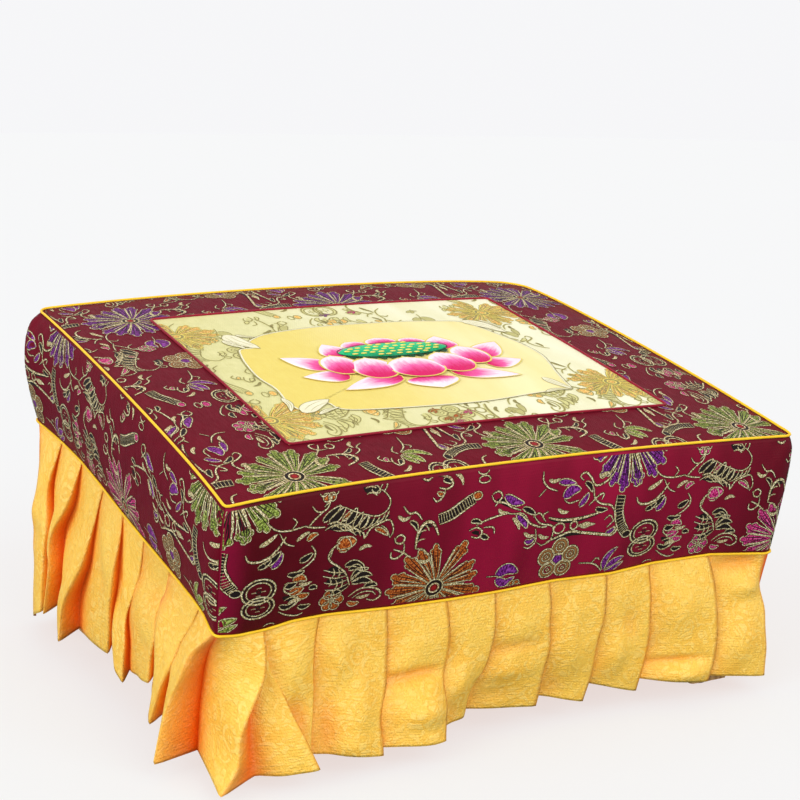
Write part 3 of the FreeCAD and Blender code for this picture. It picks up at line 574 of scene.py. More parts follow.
def speckled(name, colour, dark, size, roughness, metallic=0.0, bump=0.2):
    """A plain material with fine specks, such as foam, a moulded glide or turned steel."""
    made, tree, shader = blank(name)
    place = put(tree, "ShaderNodeTexCoord").outputs["Object"]
    fine = noise(tree, place, size, 4.0).outputs["Fac"]
    mottle = grouped(tree, MOTTLE, {"Vector": place, "Size": size * 0.05})
    feed(tree, shader, {
        "Base Color": mixed(tree, blended(tree, fine, 0.6, mottle.outputs[0], 0.4), dark, colour),
        "Roughness": ranged(tree, fine, 0.3, 0.7, roughness + 0.1, roughness - 0.1),
        "Metallic": metallic,
        "Normal": bumped(tree, fine, bump, 0.0005),
    })
    return made


CRIMSON = satin("crimson brocade ground", rgb(112, 16, 36), rgb(92, 8, 24), 900.0, 0.5, 0.02,
                (1.0, 0.35, 0.5, 1), shine=0.05)
# The front wall is a darker, shaded copy of the crimson with painted sheen: a broad streaky band in its middle
# and a narrow one at its left corner.
FRONT_PAINTED_SHEEN = [(0.045, 0.32, rgb(160, 15, 57), 0.4), (-0.296, 0.022, rgb(146, 12, 56), 0.5)]
CRIMSON_FRONT_PAINTED_SHADE_AND_SHEEN = satin("crimson brocade ground of the front", rgb(90, 6, 20), rgb(74, 3, 12), 900.0, 0.5, 0.0,
                      (1.0, 0.2, 0.4, 1), painted_sheen=FRONT_PAINTED_SHEEN, shine=0.12)
SKIRT_SATIN = figured_satin("golden skirt satin", rgb(249, 209, 92), rgb(252, 217, 118), rgb(241, 170, 36),
                            rgb(228, 84, 0), 0.42, 46.0)
PIPING_SATIN = satin("golden piping", rgb(255, 212, 48), rgb(246, 184, 24), 700.0, 0.4, 0.05,
                     (1, 0.9, 0.6, 1), "UVMap")
# The cream border and the pale gold field are painted lighter towards their right, a painted sheen.
CREAM_SATIN = satin("cream figured satin", rgb(228, 222, 162), rgb(206, 202, 134), 800.0, 0.42, 0.05,
                    (1, 1, 0.9, 1), painted_sheen=[(0.15, 0.34, rgb(244, 242, 214), 0.5)])
FIELD_SATIN = satin("pale gold field satin", rgb(233, 214, 110), rgb(228, 204, 98), 900.0, 0.45, 0.05,
                    (1, 1, 0.8, 1), painted_sheen=[(0.16, 0.3, rgb(246, 239, 188), 0.5)])
TRIM_CORD = satin("crimson trim cord", rgb(160, 16, 46), rgb(118, 6, 30), 700.0, 0.45, 0.1,
                  (1, 0.6, 0.6, 1), "UVMap")
PETAL_SILK = silk_gradient("petal silk", rgb(216, 8, 100), rgb(240, 94, 168), rgb(255, 232, 244))
POD_SILK = silk_gradient("pod silk", rgb(0, 140, 92), rgb(4, 182, 116), rgb(50, 206, 142))
THREAD_COLOURS = {
    "gold": ("pale gold thread", (204, 184, 126), (164, 140, 86)),
    "dark": ("black green thread", (44, 32, 30), (22, 14, 14)),
    "green": ("leaf green silk", (138, 156, 58), (98, 116, 38)),
    "purple": ("purple silk", (124, 32, 136), (92, 16, 102)),
    "orange": ("orange silk", (190, 90, 28), (148, 60, 18)),
    "pink": ("pink silk", (212, 42, 120), (168, 22, 90)),
    "red": ("red silk", (184, 36, 38), (132, 16, 24)),
    "silver": ("silver white silk", (246, 242, 216), (228, 222, 186)),
    "olive": ("olive silk", (206, 200, 136), (178, 172, 108)),
    "straw": ("straw silk", (222, 218, 154), (204, 198, 130)),
    "amber": ("amber silk", (243, 197, 104), (229, 170, 72)),
    "bright": ("bright gold silk", (240, 226, 130), (220, 196, 84)),
    "leaf": ("dark leaf silk", (10, 92, 56), (2, 60, 36)),
    "bronze": ("bronze silk", (178, 124, 72), (132, 84, 46)),
    "shade": ("shadow olive silk", (166, 156, 98), (134, 124, 72)),
}
# By thread: the size of its specks, their dark colour and the colour of its painted glints.
THREAD_SPECKS_AND_GLINTS = {
    "gold": (560.0, rgb(56, 34, 34), rgb(255, 247, 210)),
    "green": (640.0, rgb(58, 50, 28), rgb(176, 188, 100)),
    "purple": (640.0, rgb(58, 12, 54), rgb(152, 68, 160)),
    "orange": (640.0, rgb(104, 34, 16), rgb(212, 132, 64)),
    "pink": (640.0, rgb(108, 10, 56), rgb(228, 108, 164)),
    "amber": (640.0, rgb(206, 150, 70), rgb(250, 220, 150)),
}
THREADS = {}
for thread, (title, light, shade) in THREAD_COLOURS.items():
    THREADS[thread] = satin(title, rgb(*light), rgb(*shade), 1300.0, 0.45, 0.0, (1, 1, 0.9, 1), "UVMap",
                            specks=THREAD_SPECKS_AND_GLINTS.get(thread), shine=0.1)
FOAM = speckled("cream foam", rgb(240, 228, 196), rgb(222, 204, 164), 900.0, 0.9)
LINING = satin("plain lining cloth", rgb(226, 220, 206), rgb(204, 196, 180), 500.0, 0.8, 0.1, (1, 1, 1, 1))
PINE = [wood("planed pine along " + "xyz"[k], rgb(222, 182, 124), rgb(178, 128, 74), k) for k in range(3)]
GLIDE = speckled("dark moulded glide", rgb(100, 92, 88), rgb(84, 77, 73), 1500.0, 0.5, bump=0.1)
STEEL = speckled("zinc steel", rgb(196, 188, 176), rgb(158, 148, 136), 700.0, 0.35, 1.0, 0.05)


# Geometry trees: threads on a path, cords on a path, seeds on points

def grow_tree(name, inputs):
    """An empty geometry tree, with the keys of its inputs."""
    tree = bpy.data.node_groups.new(name, "GeometryNodeTree")
    tree.interface.new_socket(name="Geometry", in_out="INPUT", socket_type="NodeSocketGeometry")
    keys = {}
    for label, kind in inputs.items():
        socket = tree.interface.new_socket(name=label, in_out="INPUT", socket_type="NodeSocket" + kind)
        keys[label] = socket.identifier
    tree.interface.new_socket(name="Geometry", in_out="OUTPUT", socket_type="NodeSocketGeometry")
    return tree, tree.nodes.new("NodeGroupInput"), tree.nodes.new("NodeGroupOutput"), keys


def dressed(tree, start, end, shape):
    """Ends a tree with plain geometry in its material."""
    whole = put(tree, "GeometryNodeRealizeInstances", None, {"Geometry": shape})
    coloured = put(tree, "GeometryNodeSetMaterial", None,
                   {"Geometry": whole.outputs[0], "Material": start.outputs["Material"]})
    feed(tree, end, {0: coloured.outputs[0]})


def captured(tree, shape, label, measure):
    """Keeps a measure of a line's points, so that the swept shape can use it."""
    kept = put(tree, "GeometryNodeCaptureAttribute", {"domain": "POINT"}, {"Geometry": shape})
    kept.capture_items.new("FLOAT", label)
    tree.links.new(put(tree, "GeometryNodeSplineParameter").outputs[measure], kept.inputs[1])
    return kept


def swept(tree, start, end, profile, scale):
    """Sweeps a profile along smooth lines and stores how far along and across each corner is."""
    lines = put(tree, "GeometryNodeMeshToCurve", None, {"Mesh": start.outputs["Geometry"]})
    curved = put(tree, "GeometryNodeCurveSplineType", {"spline_type": "CATMULL_ROM"},
                 {"Curve": lines.outputs[0]})
    even = put(tree, "GeometryNodeResampleCurve", {"mode": "LENGTH"},
               {"Curve": curved.outputs[0], "Length": start.outputs["Step"]})
    level = put(tree, "GeometryNodeSetCurveNormal", {"mode": "Z_UP"}, {"Curve": even.outputs[0]})
    along = captured(tree, level.outputs[0], "along", "Length")
    across = captured(tree, profile, "across", "Factor")
    sweep = put(tree, "GeometryNodeCurveToMesh", None,
                {"Curve": along.outputs[0], "Profile Curve": across.outputs[0], "Scale": scale})
    flat = put(tree, "ShaderNodeCombineXYZ", None,
               {0: along.outputs[1], 1: maths(tree, "MULTIPLY", across.outputs[1], 0.004)})
    stored = put(tree, "GeometryNodeStoreNamedAttribute", {"data_type": "FLOAT2", "domain": "CORNER"},
                 {"Geometry": sweep.outputs[0], "Name": "UVMap", "Value": flat.outputs[0]})
    dressed(tree, start, end, stored.outputs[0])


def make_thread_tree():
    """Flat ribbons with a width by point."""
    tree, start, end, keys = grow_tree("threads on a path", {"Step": "Float", "Material": "Material"})
    profile = put(tree, "GeometryNodeCurvePrimitiveLine", {"mode": "POINTS"},
                  {"Start": (-1, 0, 0), "End": (1, 0, 0)})
    width = put(tree, "GeometryNodeInputNamedAttribute", {"data_type": "FLOAT"}, {"Name": "half_width"})
    swept(tree, start, end, profile.outputs[0], width.outputs[0])
    return tree, keys


def make_cord_tree():
    """Round cords of one thickness."""
    tree, start, end, keys = grow_tree("cord on a path",
                                       {"Step": "Float", "Radius": "Float", "Material": "Material"})
    profile = put(tree, "GeometryNodeCurvePrimitiveCircle", {"mode": "RADIUS"},
                  {"Resolution": 10, "Radius": 1.0})
    swept(tree, start, end, profile.outputs[0], start.outputs["Radius"])
    return tree, keys


def make_seed_tree():
    """Flat oval seeds."""
    tree, start, end, keys = grow_tree("seeds on points", {"Radius": "Float", "Material": "Material"})
    seed = put(tree, "GeometryNodeMeshIcoSphere", None,
               {"Radius": start.outputs["Radius"], "Subdivisions": 2})
    flat = put(tree, "GeometryNodeTransform", None,
               {"Geometry": seed.outputs[0], "Scale": (1.5, 0.9, 0.35)})
    sown = put(tree, "GeometryNodeInstanceOnPoints", None,
               {"Points": start.outputs["Geometry"], "Instance": flat.outputs[0]})
    dressed(tree, start, end, sown.outputs[0])
    return tree, keys


THREAD_TREE = make_thread_tree()
CORD_TREE = make_cord_tree()
SEED_TREE = make_seed_tree()


def grown(tree_and_keys, source, values):
    """The plain mesh that a geometry tree makes of a source mesh."""
    tree, keys = tree_and_keys
    made = placed("growing", source)
    step = made.modifiers.new("grow", "NODES")
    step.node_group = tree
    for label, value in values.items():
        step[keys[label]] = value
    view = bpy.context.evaluated_depsgraph_get()
    mesh = bpy.data.meshes.new_from_object(made.evaluated_get(view))
    made.modifiers.clear()
    bpy.data.objects.remove(made)
    return mesh


def path_mesh(lines, widths=None, closed=False):
    """Lines of points as bare edges, with half a width at each point."""
    points = []
    edges = []
    halves = []
    for k, line in enumerate(lines):
        first = len(points)
        for i, p in enumerate(line):
            points.append(tuple(p))
            if i:
                edges.append((first + i - 1, first + i))
        if closed:
            edges.append((len(points) - 1, first))
        if widths is not None:
            halves.extend(widths[k])
    mesh = bpy.data.meshes.new("path")
    mesh.from_pydata(points, edges, [])
    if widths is not None:
        layer = mesh.attributes.new("half_width", "FLOAT", "POINT")
        layer.data.foreach_set("value", np.asarray(halves, np.float32))
    return mesh


# The padded cover: its cloth as a grid, swelled by its filling

ACROSS = 60
ALONG = 52
DOWN = 12
REFINE = 3
WALLS = (("front", ACROSS, WIDTH / 2), ("right", ALONG, DEPTH / 2),
         ("rear", ACROSS, WIDTH / 2), ("left", ALONG, DEPTH / 2))
CORNER_DROOP = {(-1, -1): -3.5, (-1, 1): -1.0, (1, 1): -4.0, (1, -1): 0.0}
BAND_BULGE = 5.5
SEAM_WAVES = {
    "front": [(-300, -119), (-281, -121), (-255, -120), (-229, -116), (-198, -115.2), (-133, -118.6),
              (-73, -119.7), (-21, -119.4), (37, -117), (103, -119), (150, -115), (220, -115.2), (289, -123),
              (300, -123)],
    "right": [(-260, -123), (-200, -118), (-90, -119), (20, -116.5), (130, -118.5), (220, -117), (260, -121)],
    "rear": [(-300, -121), (-220, -117), (-100, -118.5), (30, -116.5), (140, -119), (230, -117), (300, -122)],
    "left": [(-260, -122), (-240, -122), (-173, -117.5), (-113, -114.5), (-47, -115), (9, -116.7), (70, -117),
             (141, -116), (206, -114.5), (229, -115), (248, -119), (260, -119)],
}
SEAM_TUCK = {"front": 2.5, "right": 4.0, "rear": 4.0, "left": 6.0}


def rounded(u, v):
    """Pulls the corners of the square cover in to its rounded outline."""
    p = np.maximum(np.abs(u) / HALF_U, np.abs(v) / HALF_V)
    safe = np.maximum(p, 1e-6)
    bu = np.abs(u) / safe
    bv = np.abs(v) / safe
    radius = np.zeros_like(u)
    for (su, sv), value in CORNER_ROUND.items():
        radius = np.where((np.sign(u) == su) & (np.sign(v) == sv), value, radius)
    du = bu - (HALF_U - radius)
    dv = bv - (HALF_V - radius)
    corner = (du > 0) & (dv > 0)
    length = np.maximum(np.hypot(du, dv), 1e-6)
    pull = np.where(corner, radius / length - 1.0, 0.0) * p ** 8
    return u + np.sign(u) * du * pull, v + np.sign(v) * dv * pull


SWELL_CAP = 6.0
SWELL_RISE = 5.2
SWELL_FRAMES = 20
SWELL_SETTINGS = {
    "quality": 6, "mass": 0.3, "tension_stiffness": 20, "compression_stiffness": 10, "shear_stiffness": 8,
    "bending_stiffness": 1.0, "use_pressure": True, "uniform_pressure_force": 4.0,
    "vertex_group_mass": "seams",
}


def crown_height(u, v):
    """Height of the top, lower by what its filling will lift it by."""
    rise = SWELL_RISE
    n = -rise * np.clip(1 - (u / HALF_U) ** 4, 0, 1) * np.clip(1 - (v / HALF_V) ** 4, 0, 1)
    n = n + np.sqrt(CROWN_RADIUS ** 2 - u ** 2 - v ** 2) - (CROWN_RADIUS - CROWN)
    for (su, sv), droop in CORNER_DROOP.items():
        n = n + droop * (np.clip(su * u / HALF_U, 0, 1) * np.clip(sv * v / HALF_V, 0, 1)) ** 6
    return n


def cover_grids():
    """The top's grid and the ring of wall columns below its edge, in seat measures."""
    u, v = np.meshgrid(np.linspace(-HALF_U, HALF_U, ACROSS + 1), np.linspace(-HALF_V, HALF_V, ALONG + 1))
    tu, tv = rounded(u, v)
    top = np.stack([tu, tv, crown_height(tu, tv)], -1)
    edge = rim(top)
    flat = []
    for name, cells, half in WALLS:
        for c in np.linspace(-half, half, cells + 1)[:-1]:
            low = np.interp(c, *zip(*SEAM_WAVES[name]))
            flat.append((low, SEAM_TUCK[name] * (1 - (c / half) ** 4)))
    low, tuck = np.array(flat).T
    step = np.roll(edge, -1, 0) - np.roll(edge, 1, 0)
    out = np.stack([step[:, 1], -step[:, 0]], -1)
    out /= np.linalg.norm(out, axis=1)[:, None]
    rows = []
    for k in range(DOWN + 1):
        q = k / DOWN
        bulge = BAND_BULGE * q ** 0.35 * (1 - q) / 0.48
        shift = bulge + 1.5 * q - tuck * q ** 1.5
        n = edge[:, 2] * (1 - q) + low * q
        rows.append(np.stack([edge[:, 0] + out[:, 0] * shift, edge[:, 1] + out[:, 1] * shift, n], -1))
    return top, np.array(rows)


def blown(mesh, held_points):
    """Where the points of a closed cloth go under pressure, held at its seams."""
    made = placed("swelling cover", mesh)
    made.vertex_groups.new(name="seams").add(held_points, 1.0, "REPLACE")
    cloth = made.modifiers.new("swell", "CLOTH")
    cloth.point_cache.frame_start = 1
    cloth.point_cache.frame_end = SWELL_FRAMES
    for setting, value in SWELL_SETTINGS.items():
        setattr(cloth.settings, setting, value)
    cloth.settings.effector_weights.gravity = 0
    cloth.collision_settings.use_collision = False
    for number in range(1, SWELL_FRAMES + 1):
        scene.frame_set(number)
    view = bpy.context.evaluated_depsgraph_get()
    result = made.evaluated_get(view).to_mesh()
    moved = np.zeros(len(mesh.vertices) * 3, np.float32)
    result.vertices.foreach_get("co", moved)
    made.evaluated_get(view).to_mesh_clear()
    made.modifiers.clear()
    bpy.data.objects.remove(made)
    scene.frame_set(1)
    return moved.reshape(-1, 3)


def swell(top, band):
    """Lets the cover swell against its seams, as a filled cloth does, and caps how far it goes."""
    rows, across = top.shape[:2]
    columns = band.shape[1]
    start = rows * across
    ring = rim(np.arange(start).reshape(rows, across))
    points = np.concatenate([top.reshape(-1, 3), band[1:].reshape(-1, 3), band[-1].mean(0)[None]])
    hub = len(points) - 1
    foot = np.arange(hub - columns, hub)
    faces = grid_faces(rows, across) + between(ring, np.arange(start, start + columns))
    faces += grid_faces(DOWN, columns, start, True) + fan(foot, hub)
    mesh = mesh_from("swelling cover", points, faces)
    face_out(mesh)
    shift = blown(mesh, [int(i) for i in ring] + [int(i) for i in foot] + [hub]) - points
    length = np.linalg.norm(shift, axis=1, keepdims=True)
    cap = SWELL_CAP * MM
    points = points + shift * (cap * np.tanh(length / cap) / np.maximum(length, 1e-9))
    wall = points[start:hub].reshape(DOWN, columns, 3)
    return points[:start].reshape(top.shape), np.concatenate([points[ring][None], wall])


class Cloth:
    """A grid of cloth points with flat places along its columns and rows, in millimetres."""

    def __init__(self, points, columns, rows, flip=False):
        self.points = points
        self.columns = columns
        self.rows = rows
        along = np.gradient(points, axis=1)
        across = np.gradient(points, axis=0)
        normal = np.cross(across, along) if flip else np.cross(along, across)
        self.normals = normal / np.linalg.norm(normal, axis=2, keepdims=True)

    def at(self, a, b, lift=0.0):
        """Points of the cloth at flat places, lifted off its face by some millimetres."""
        a = np.asarray(a, float)
        b = np.asarray(b, float)
        x = np.interp(a, self.columns, np.arange(len(self.columns)))
        y = np.interp(b, self.rows, np.arange(len(self.rows)))
        i = np.minimum(x.astype(int), len(self.columns) - 2)
        j = np.minimum(y.astype(int), len(self.rows) - 2)
        fx = (x - i)[..., None]
        fy = (y - j)[..., None]

        def blend(grid):
            low = grid[j, i] * (1 - fx) + grid[j, i + 1] * fx
            high = grid[j + 1, i] * (1 - fx) + grid[j + 1, i + 1] * fx
            return low * (1 - fy) + high * fy
        return blend(self.points) + blend(self.normals) * (np.asarray(lift, float) * MM)[..., None]

    def mesh(self, name):
        """The cloth as a mesh with its flat places."""
        rows, columns = self.points.shape[:2]
        a, b = np.meshgrid(self.columns, self.rows)
        uv = np.stack([a, b], -1).reshape(-1, 2) * MM
        return mesh_from(name, self.points.reshape(-1, 3), grid_faces(rows, columns), uv)


REAR_PUFF = 11.0
REAR_PUFF_REACH = 46.0


def corner_puff(columns):
    """How far the filling pushes the rear left corner of the walls out, below its seam and above its foot."""
    q = np.linspace(0, 1, DOWN + 1)
    away = (np.arange(columns) - (2 * ACROSS + ALONG)) * WIDTH / ACROSS
    amount = REAR_PUFF * np.sin(np.pi * q ** 0.7)[:, None] * np.exp(-(away / REAR_PUFF_REACH) ** 2)
    return amount[..., None] * np.array([-1.0, 0.3 * COS, 0.3 * SIN])


def make_cover():
    """The cover's top and its four walls as cloth grids, and the ring of all the walls."""
    top, band = cover_grids()
    top = seat(top[..., 0], top[..., 1], top[..., 2])
    band = seat(band[..., 0], band[..., 1], band[..., 2])
    top, band = swell(top, band)
    band = band + corner_puff(band.shape[1]) * MM
    fine = finer(finer(top, REFINE, 0), REFINE, 1)
    cloths = {"top": Cloth(fine, np.linspace(-WIDTH / 2, WIDTH / 2, fine.shape[1]),
                           np.linspace(-DEPTH / 2, DEPTH / 2, fine.shape[0]))}
    wide = np.concatenate([band[:, -2:], band, band[:, :3]], 1)
    ring = finer(finer(wide, REFINE, 1)[:, 2 * REFINE:], REFINE, 0)
    first = 0
    for name, cells, half in WALLS:
        part = ring[:, first:first + cells * REFINE + 1]
        cloths[name] = Cloth(part, np.linspace(-half, half, part.shape[1]),
                             np.linspace(0, BAND, part.shape[0]), True)
        first += cells * REFINE
    return cloths, ring[:, :first]


make_camera()
make_world()
make_floor()
make_lamps()
COVER, RING = make_cover()
COVER_CLOTH = 1.4


def lay_cover():
    """The brocade cloth of the top and the walls."""
    top = piece("cover_cloth_top", COVER["top"].mesh("cover_cloth_top"), [CRIMSON], ["cover_top"])
    thicken(top, COVER_CLOTH)
    for name, _, half in WALLS:
        mesh = COVER[name].mesh("cover_band_" + name)
        mesh.flip_normals()
        # The front wall has painted shade and painted sheen of its own.
        ground = CRIMSON_FRONT_PAINTED_SHADE_AND_SHEEN if name == "front" else CRIMSON
        band = piece("cover_band_" + name, mesh, [ground], ["band_" + name])
        thicken(band, COVER_CLOTH)


FOAM_BOTTOM = -59.4
FOAM_MIDDLE = -30.0
FOAM_GAP = 3.2
FOAM_WALL_SHARE = 1.3
LINING_LEVEL = -60.9
LINING_CLOTH = 0.8
LINING_SAG = 0.25


def lay_foam():
    """The foam block, a little within the cover's top and walls."""
    top = COVER["top"]
    inner = top.points - top.normals * FOAM_GAP * MM
    rows, columns = inner.shape[:2]
    points = list(inner.reshape(-1, 3))
    faces = grid_faces(rows, columns)
    above = rim(np.arange(rows * columns).reshape(rows, columns))
    centre = seat(0, 0, FOAM_MIDDLE)
    up_slope = np.array([0, COS, SIN])
    last = int(round(-FOAM_BOTTOM / BAND * (RING.shape[0] - 1)))
    for k in range(2, last + 1, 2):
        line = RING[k].copy()
        flat = np.stack([line[:, 0] - centre[0], (line - centre) @ up_slope], -1)
        pull = flat / np.linalg.norm(flat, axis=1, keepdims=True) * FOAM_GAP * MM * FOAM_WALL_SHARE
        line[:, 0] -= pull[:, 0]
        line -= pull[:, 1:] * up_slope
        below = np.arange(len(points), len(points) + len(line))
        points.extend(line)
        faces += between(above, below)
        above = below
    faces += fan(above, len(points))
    points.append(seat(0, 0, FOAM_BOTTOM))
    mesh = mesh_from("foam_block", points, faces)
    face_out(mesh)
    foam = piece("foam_block", mesh, [FOAM], ["foam_pad"])


def lay_lining():
    """The plain cloth that closes the cover under the foam."""
    across = np.linspace(-HALF_U, HALF_U, ACROSS + 1)
    along = np.linspace(-HALF_V, HALF_V, ALONG + 1)
    u, v = rounded(*np.meshgrid(across, along))
    sag = LINING_SAG * np.sin(u / 37.0) * np.sin(v / 29.0)
    mesh = mesh_from("lining_cloth", seat(u, v, LINING_LEVEL + sag).reshape(-1, 3),
                     grid_faces(len(along), len(across)), np.stack([u, v], -1).reshape(-1, 2) * MM)
    lining = piece("lining_cloth", mesh, [LINING], ["cushion_lining"])
    thicken(lining, LINING_CLOTH, 0.0)


# Each piping by its row of the walls, its shift out and its lift
PIPINGS = (("piping_top_seam", 0, 0.2, 1.3, "top_piping"),
           ("piping_foot_seam", -1, 0.8, -0.6, "bottom_piping"))
PIPING_RADIUS = 1.25
CORD_STEP = 3.0


def lay_cord(name, line, radius, material, node):
    """A sewn cord along a closed line."""
    mesh = grown(CORD_TREE, path_mesh([line], closed=True),
                 {"Step": CORD_STEP * MM, "Radius": radius * MM, "Material": material})
    mesh.shade_smooth()
    piece(name, mesh, None, [node])


def lay_piping():
    """The corded edges along the top seam and along the foot of the walls."""
    normal = np.array([0, -SIN, COS])
    out = RING - RING.mean(1, keepdims=True)
    out -= (out @ normal)[..., None] * normal
    out /= np.linalg.norm(out, axis=2, keepdims=True)
    for name, row, shift, lift, node in PIPINGS:
        line = RING[row] + (out[row] * shift + normal * lift) * MM
        lay_cord(name, line, PIPING_RADIUS, PIPING_SATIN, node)


# The brocade: threads laid as flat ribbons on a flat repeat, then mapped onto the cover

LIFTS = {"dark": 0.2, "gold": 0.34, "silver": 0.34}
FILL_LIFT = 0.12
SPINE_POINTS = 9
RING_POINTS = 15
DOT_POINTS = 7
FLOWER_PETALS = 17
PETAL_FOOT = 0.18
PETAL_BLADE = 0.58
PETAL_LOBES = ((-1, 0.79, -140, 10), (0, 0.91, -75, 75), (1, 0.8, -10, 140))
PETAL_SHADES = ((1.0, ((0.34, -0.1), (0.56, -0.3), (0.86, -0.35))),
                (0.9, ((0.5, 0.3), (0.7, 0.55), (0.88, 0.45))))
# The eye of a big flower: colour, radius, width of the ring and lift. A part with no width is filled
FLOWER_EYE = (("gold", 8.8, 1.3, 0.36), ("dark", 7.2, 2.2, 0.38), ("red", 5.6, None, 0.37),
              ("gold", 4.8, 1.6, 0.4), ("dark", 3.2, 0.8, 0.41), ("red", 2.0, None, 0.42))


def parsed(text):
    """Points from pairs of numbers in a text."""
    return [tuple(float(c) for c in pair.split(",")) for pair in text.split()]


def thread_height(colour, lift):
    """How far a thread stands off its cloth, where it has no lift of its own."""
    return LIFTS.get(colour, FILL_LIFT) if lift is None else lift


class Pattern:
    """Threads on a flat cloth: each has a colour, a lift, points and half widths."""

    def __init__(self):
        self.threads = []

    def line(self, colour, points, width, under=1.2, even=False):
        """A thread line, thinner to its ends, with a wider dark line below it where it is gold."""
        points = np.asarray(points, float)
        taper = np.ones(len(points)) if even else 0.6 + 0.5 * np.sin(np.pi * np.linspace(0, 1, len(points)))
        halves = width / 2 * taper
        self.threads.append((colour, None, points, halves))
        if colour == "gold" and under:
            self.threads.append(("dark", None, points, halves + under / 2))

    def strap(self, colour, spine, halves, edge=None, edge_width=0.0):
        """A filled shape along a spine with given half widths and, where asked, an outline."""
        self.threads.append((colour, None, spine, halves))
        if edge:
            reach = sideways(spine) * halves[:, None]
            loop = np.concatenate([spine + reach, (spine - reach)[::-1]])
            self.line(edge, loop, edge_width, under=0.7, even=True)

    def leaf(self, colour, points, width, edge="gold", edge_width=0.95):
        """A filled leaf along a spine with an outline of its own thread."""
        t = np.linspace(0, 1, SPINE_POINTS)
        halves = width / 2 * np.sin(np.pi * (0.06 + 0.9 * t ** 0.75)) ** 0.8
        halves[-1] = 0.25
        self.strap(colour, smooth(points, SPINE_POINTS), halves, edge, edge_width)

    def ring(self, colour, x, y, rx, ry, width, lift=None):
        """An oval line, with a wider dark line below it where it is gold."""
        turn = np.linspace(0, 2 * np.pi, RING_POINTS)
        points = np.stack([x + rx * np.cos(turn), y + ry * np.sin(turn)], -1)
        self.threads.append((colour, lift, points, np.full(RING_POINTS, width / 2)))
        if colour == "gold":
            self.threads.append(("dark", None, points, np.full(RING_POINTS, width / 2 + 0.5)))

    def dot(self, colour, x, y, rx, ry, lift=None):
        """A filled oval."""
        t = np.linspace(-1, 1, DOT_POINTS)
        points = np.stack([x + rx * t, np.full(DOT_POINTS, float(y))], -1)
        self.threads.append((colour, lift, points, ry * np.sqrt(np.clip(1 - t ** 2, 0.04, 1))))

    def bead(self, colour, x, y, rx, ry, width):
        """A filled oval with a gold rim."""
        self.dot(colour, x, y, rx, ry)
        self.ring("gold", x, y, rx, ry, width)


def big_flower(pattern, x, y, radius, seed):
    """A many petalled flower: curled petals with scalloped ends, edged in pale thread, and a ringed eye."""
    pick = random.Random(seed)
    here = np.array([x, y], float)
    reach = np.linspace(0, 1, 7)
    outs = PETAL_FOOT + PETAL_BLADE * reach
    for i in range(FLOWER_PETALS):
        turn = 2 * math.pi * (i + pick.uniform(-0.16, 0.16)) / FLOWER_PETALS
        length = radius * pick.uniform(0.86, 1.04)
        bend = radius * pick.uniform(0.2, 0.44) * (1 if math.cos(turn) < 0.3 else -1)
        d = np.array([math.cos(turn), math.sin(turn)])
        s = np.array([-d[1], d[0]])

        def spot(out, side):
            return here + d * length * out + s * (bend * (out ** 2 - 0.5 * out ** 4) + side)
        widest = radius * pick.uniform(0.095, 0.118)
        halves = widest * (0.2 + 0.8 * reach ** 0.8)
        pattern.strap("bloom", np.array([spot(o, 0) for o in outs]), halves)
        tip = np.array([spot(o, 0) for o in (0.72, 0.8, 0.88, 0.94)])
        pattern.strap("bloom", tip, widest * np.array([0.9, 0.8, 0.6, 0.4]))
        edge = [spot(o, -h) for o, h in zip(outs, halves)]
        for k, out, first, last in PETAL_LOBES:
            lobe = widest * pick.uniform(0.5, 0.68)
            beside = k * widest * 0.66
            middle = spot(out, beside)
            pattern.dot("bloom", middle[0], middle[1], lobe, lobe)
            for angle in np.radians(np.linspace(first, last, 5)):
                edge.append(spot(out + lobe * math.cos(angle) / length, beside + lobe * math.sin(angle)))
        edge += [spot(o, h) for o, h in zip(outs, halves)][::-1]
        pattern.line("gold", edge, 0.9, under=0.8, even=True)
        stop = pick.uniform(0.5, 0.78)
        vein = [spot(o, widest * (0.26 + 0.95 * ((o - PETAL_FOOT) / PETAL_BLADE)))
                for o in np.linspace(0.17, stop, 5)]
        pattern.line("gold", vein, pick.uniform(1.2, 1.9))
        for width, shade in PETAL_SHADES:
            pattern.line("dark", [spot(o, share * widest) for o, share in shade], width)
        rib = [spot(0.3, 0), spot(0.5, widest * 0.15), spot(pick.uniform(0.6, 0.8), widest * 0.25)]
        pattern.line("gold" if i % 2 else "dark", rib, 0.9, under=0.6)
    for colour, size, width, lift in FLOWER_EYE:
        if width:
            pattern.ring(colour, x, y, size, size, width, lift)
        else:
            pattern.dot(colour, x, y, size, size, lift)


def small_flower(pattern, colour, x, y, radius, lobes=6):
    """A flower of round lobes with gold rims."""
    lobe = radius * 0.4
    for i in range(lobes):
        turn = 2 * math.pi * i / lobes
        cx = x + radius * 0.58 * math.cos(turn)
        cy = y + radius * 0.58 * math.sin(turn)
        pattern.bead(colour, cx, cy, lobe, lobe, 0.8)
    pattern.ring("dark", x, y, radius * 0.26, radius * 0.26, 1.0)
    pattern.ring("gold", x, y, radius * 0.12, radius * 0.12, 1.0)


def scroll_tube(pattern, points, width, end):
    """A rolled scroll: a dark tube with gold edges and cross bands."""
    spine = smooth(points, SPINE_POINTS)
    side = sideways(spine)
    pattern.threads.append(("dark", 0.16, spine, np.full(SPINE_POINTS, width / 2)))
    for k in (-1, 1):
        pattern.line("gold", spine + side * k * width / 2, 1.3)
    for i in np.linspace(0, SPINE_POINTS - 1, 15):
        here = np.array([np.interp(i, range(SPINE_POINTS), spine[:, k]) for k in (0, 1)])
        across = np.array([np.interp(i, range(SPINE_POINTS), side[:, k]) for k in (0, 1)]) * width * 0.36
        pattern.line("gold", [here - across, here + across], 1.0, under=0)
    x, y = spine[-1] + (spine[-1] - spine[-2]) * 0.9
    pattern.bead(end, x, y, width * 0.55, width * 0.4, 0.9)


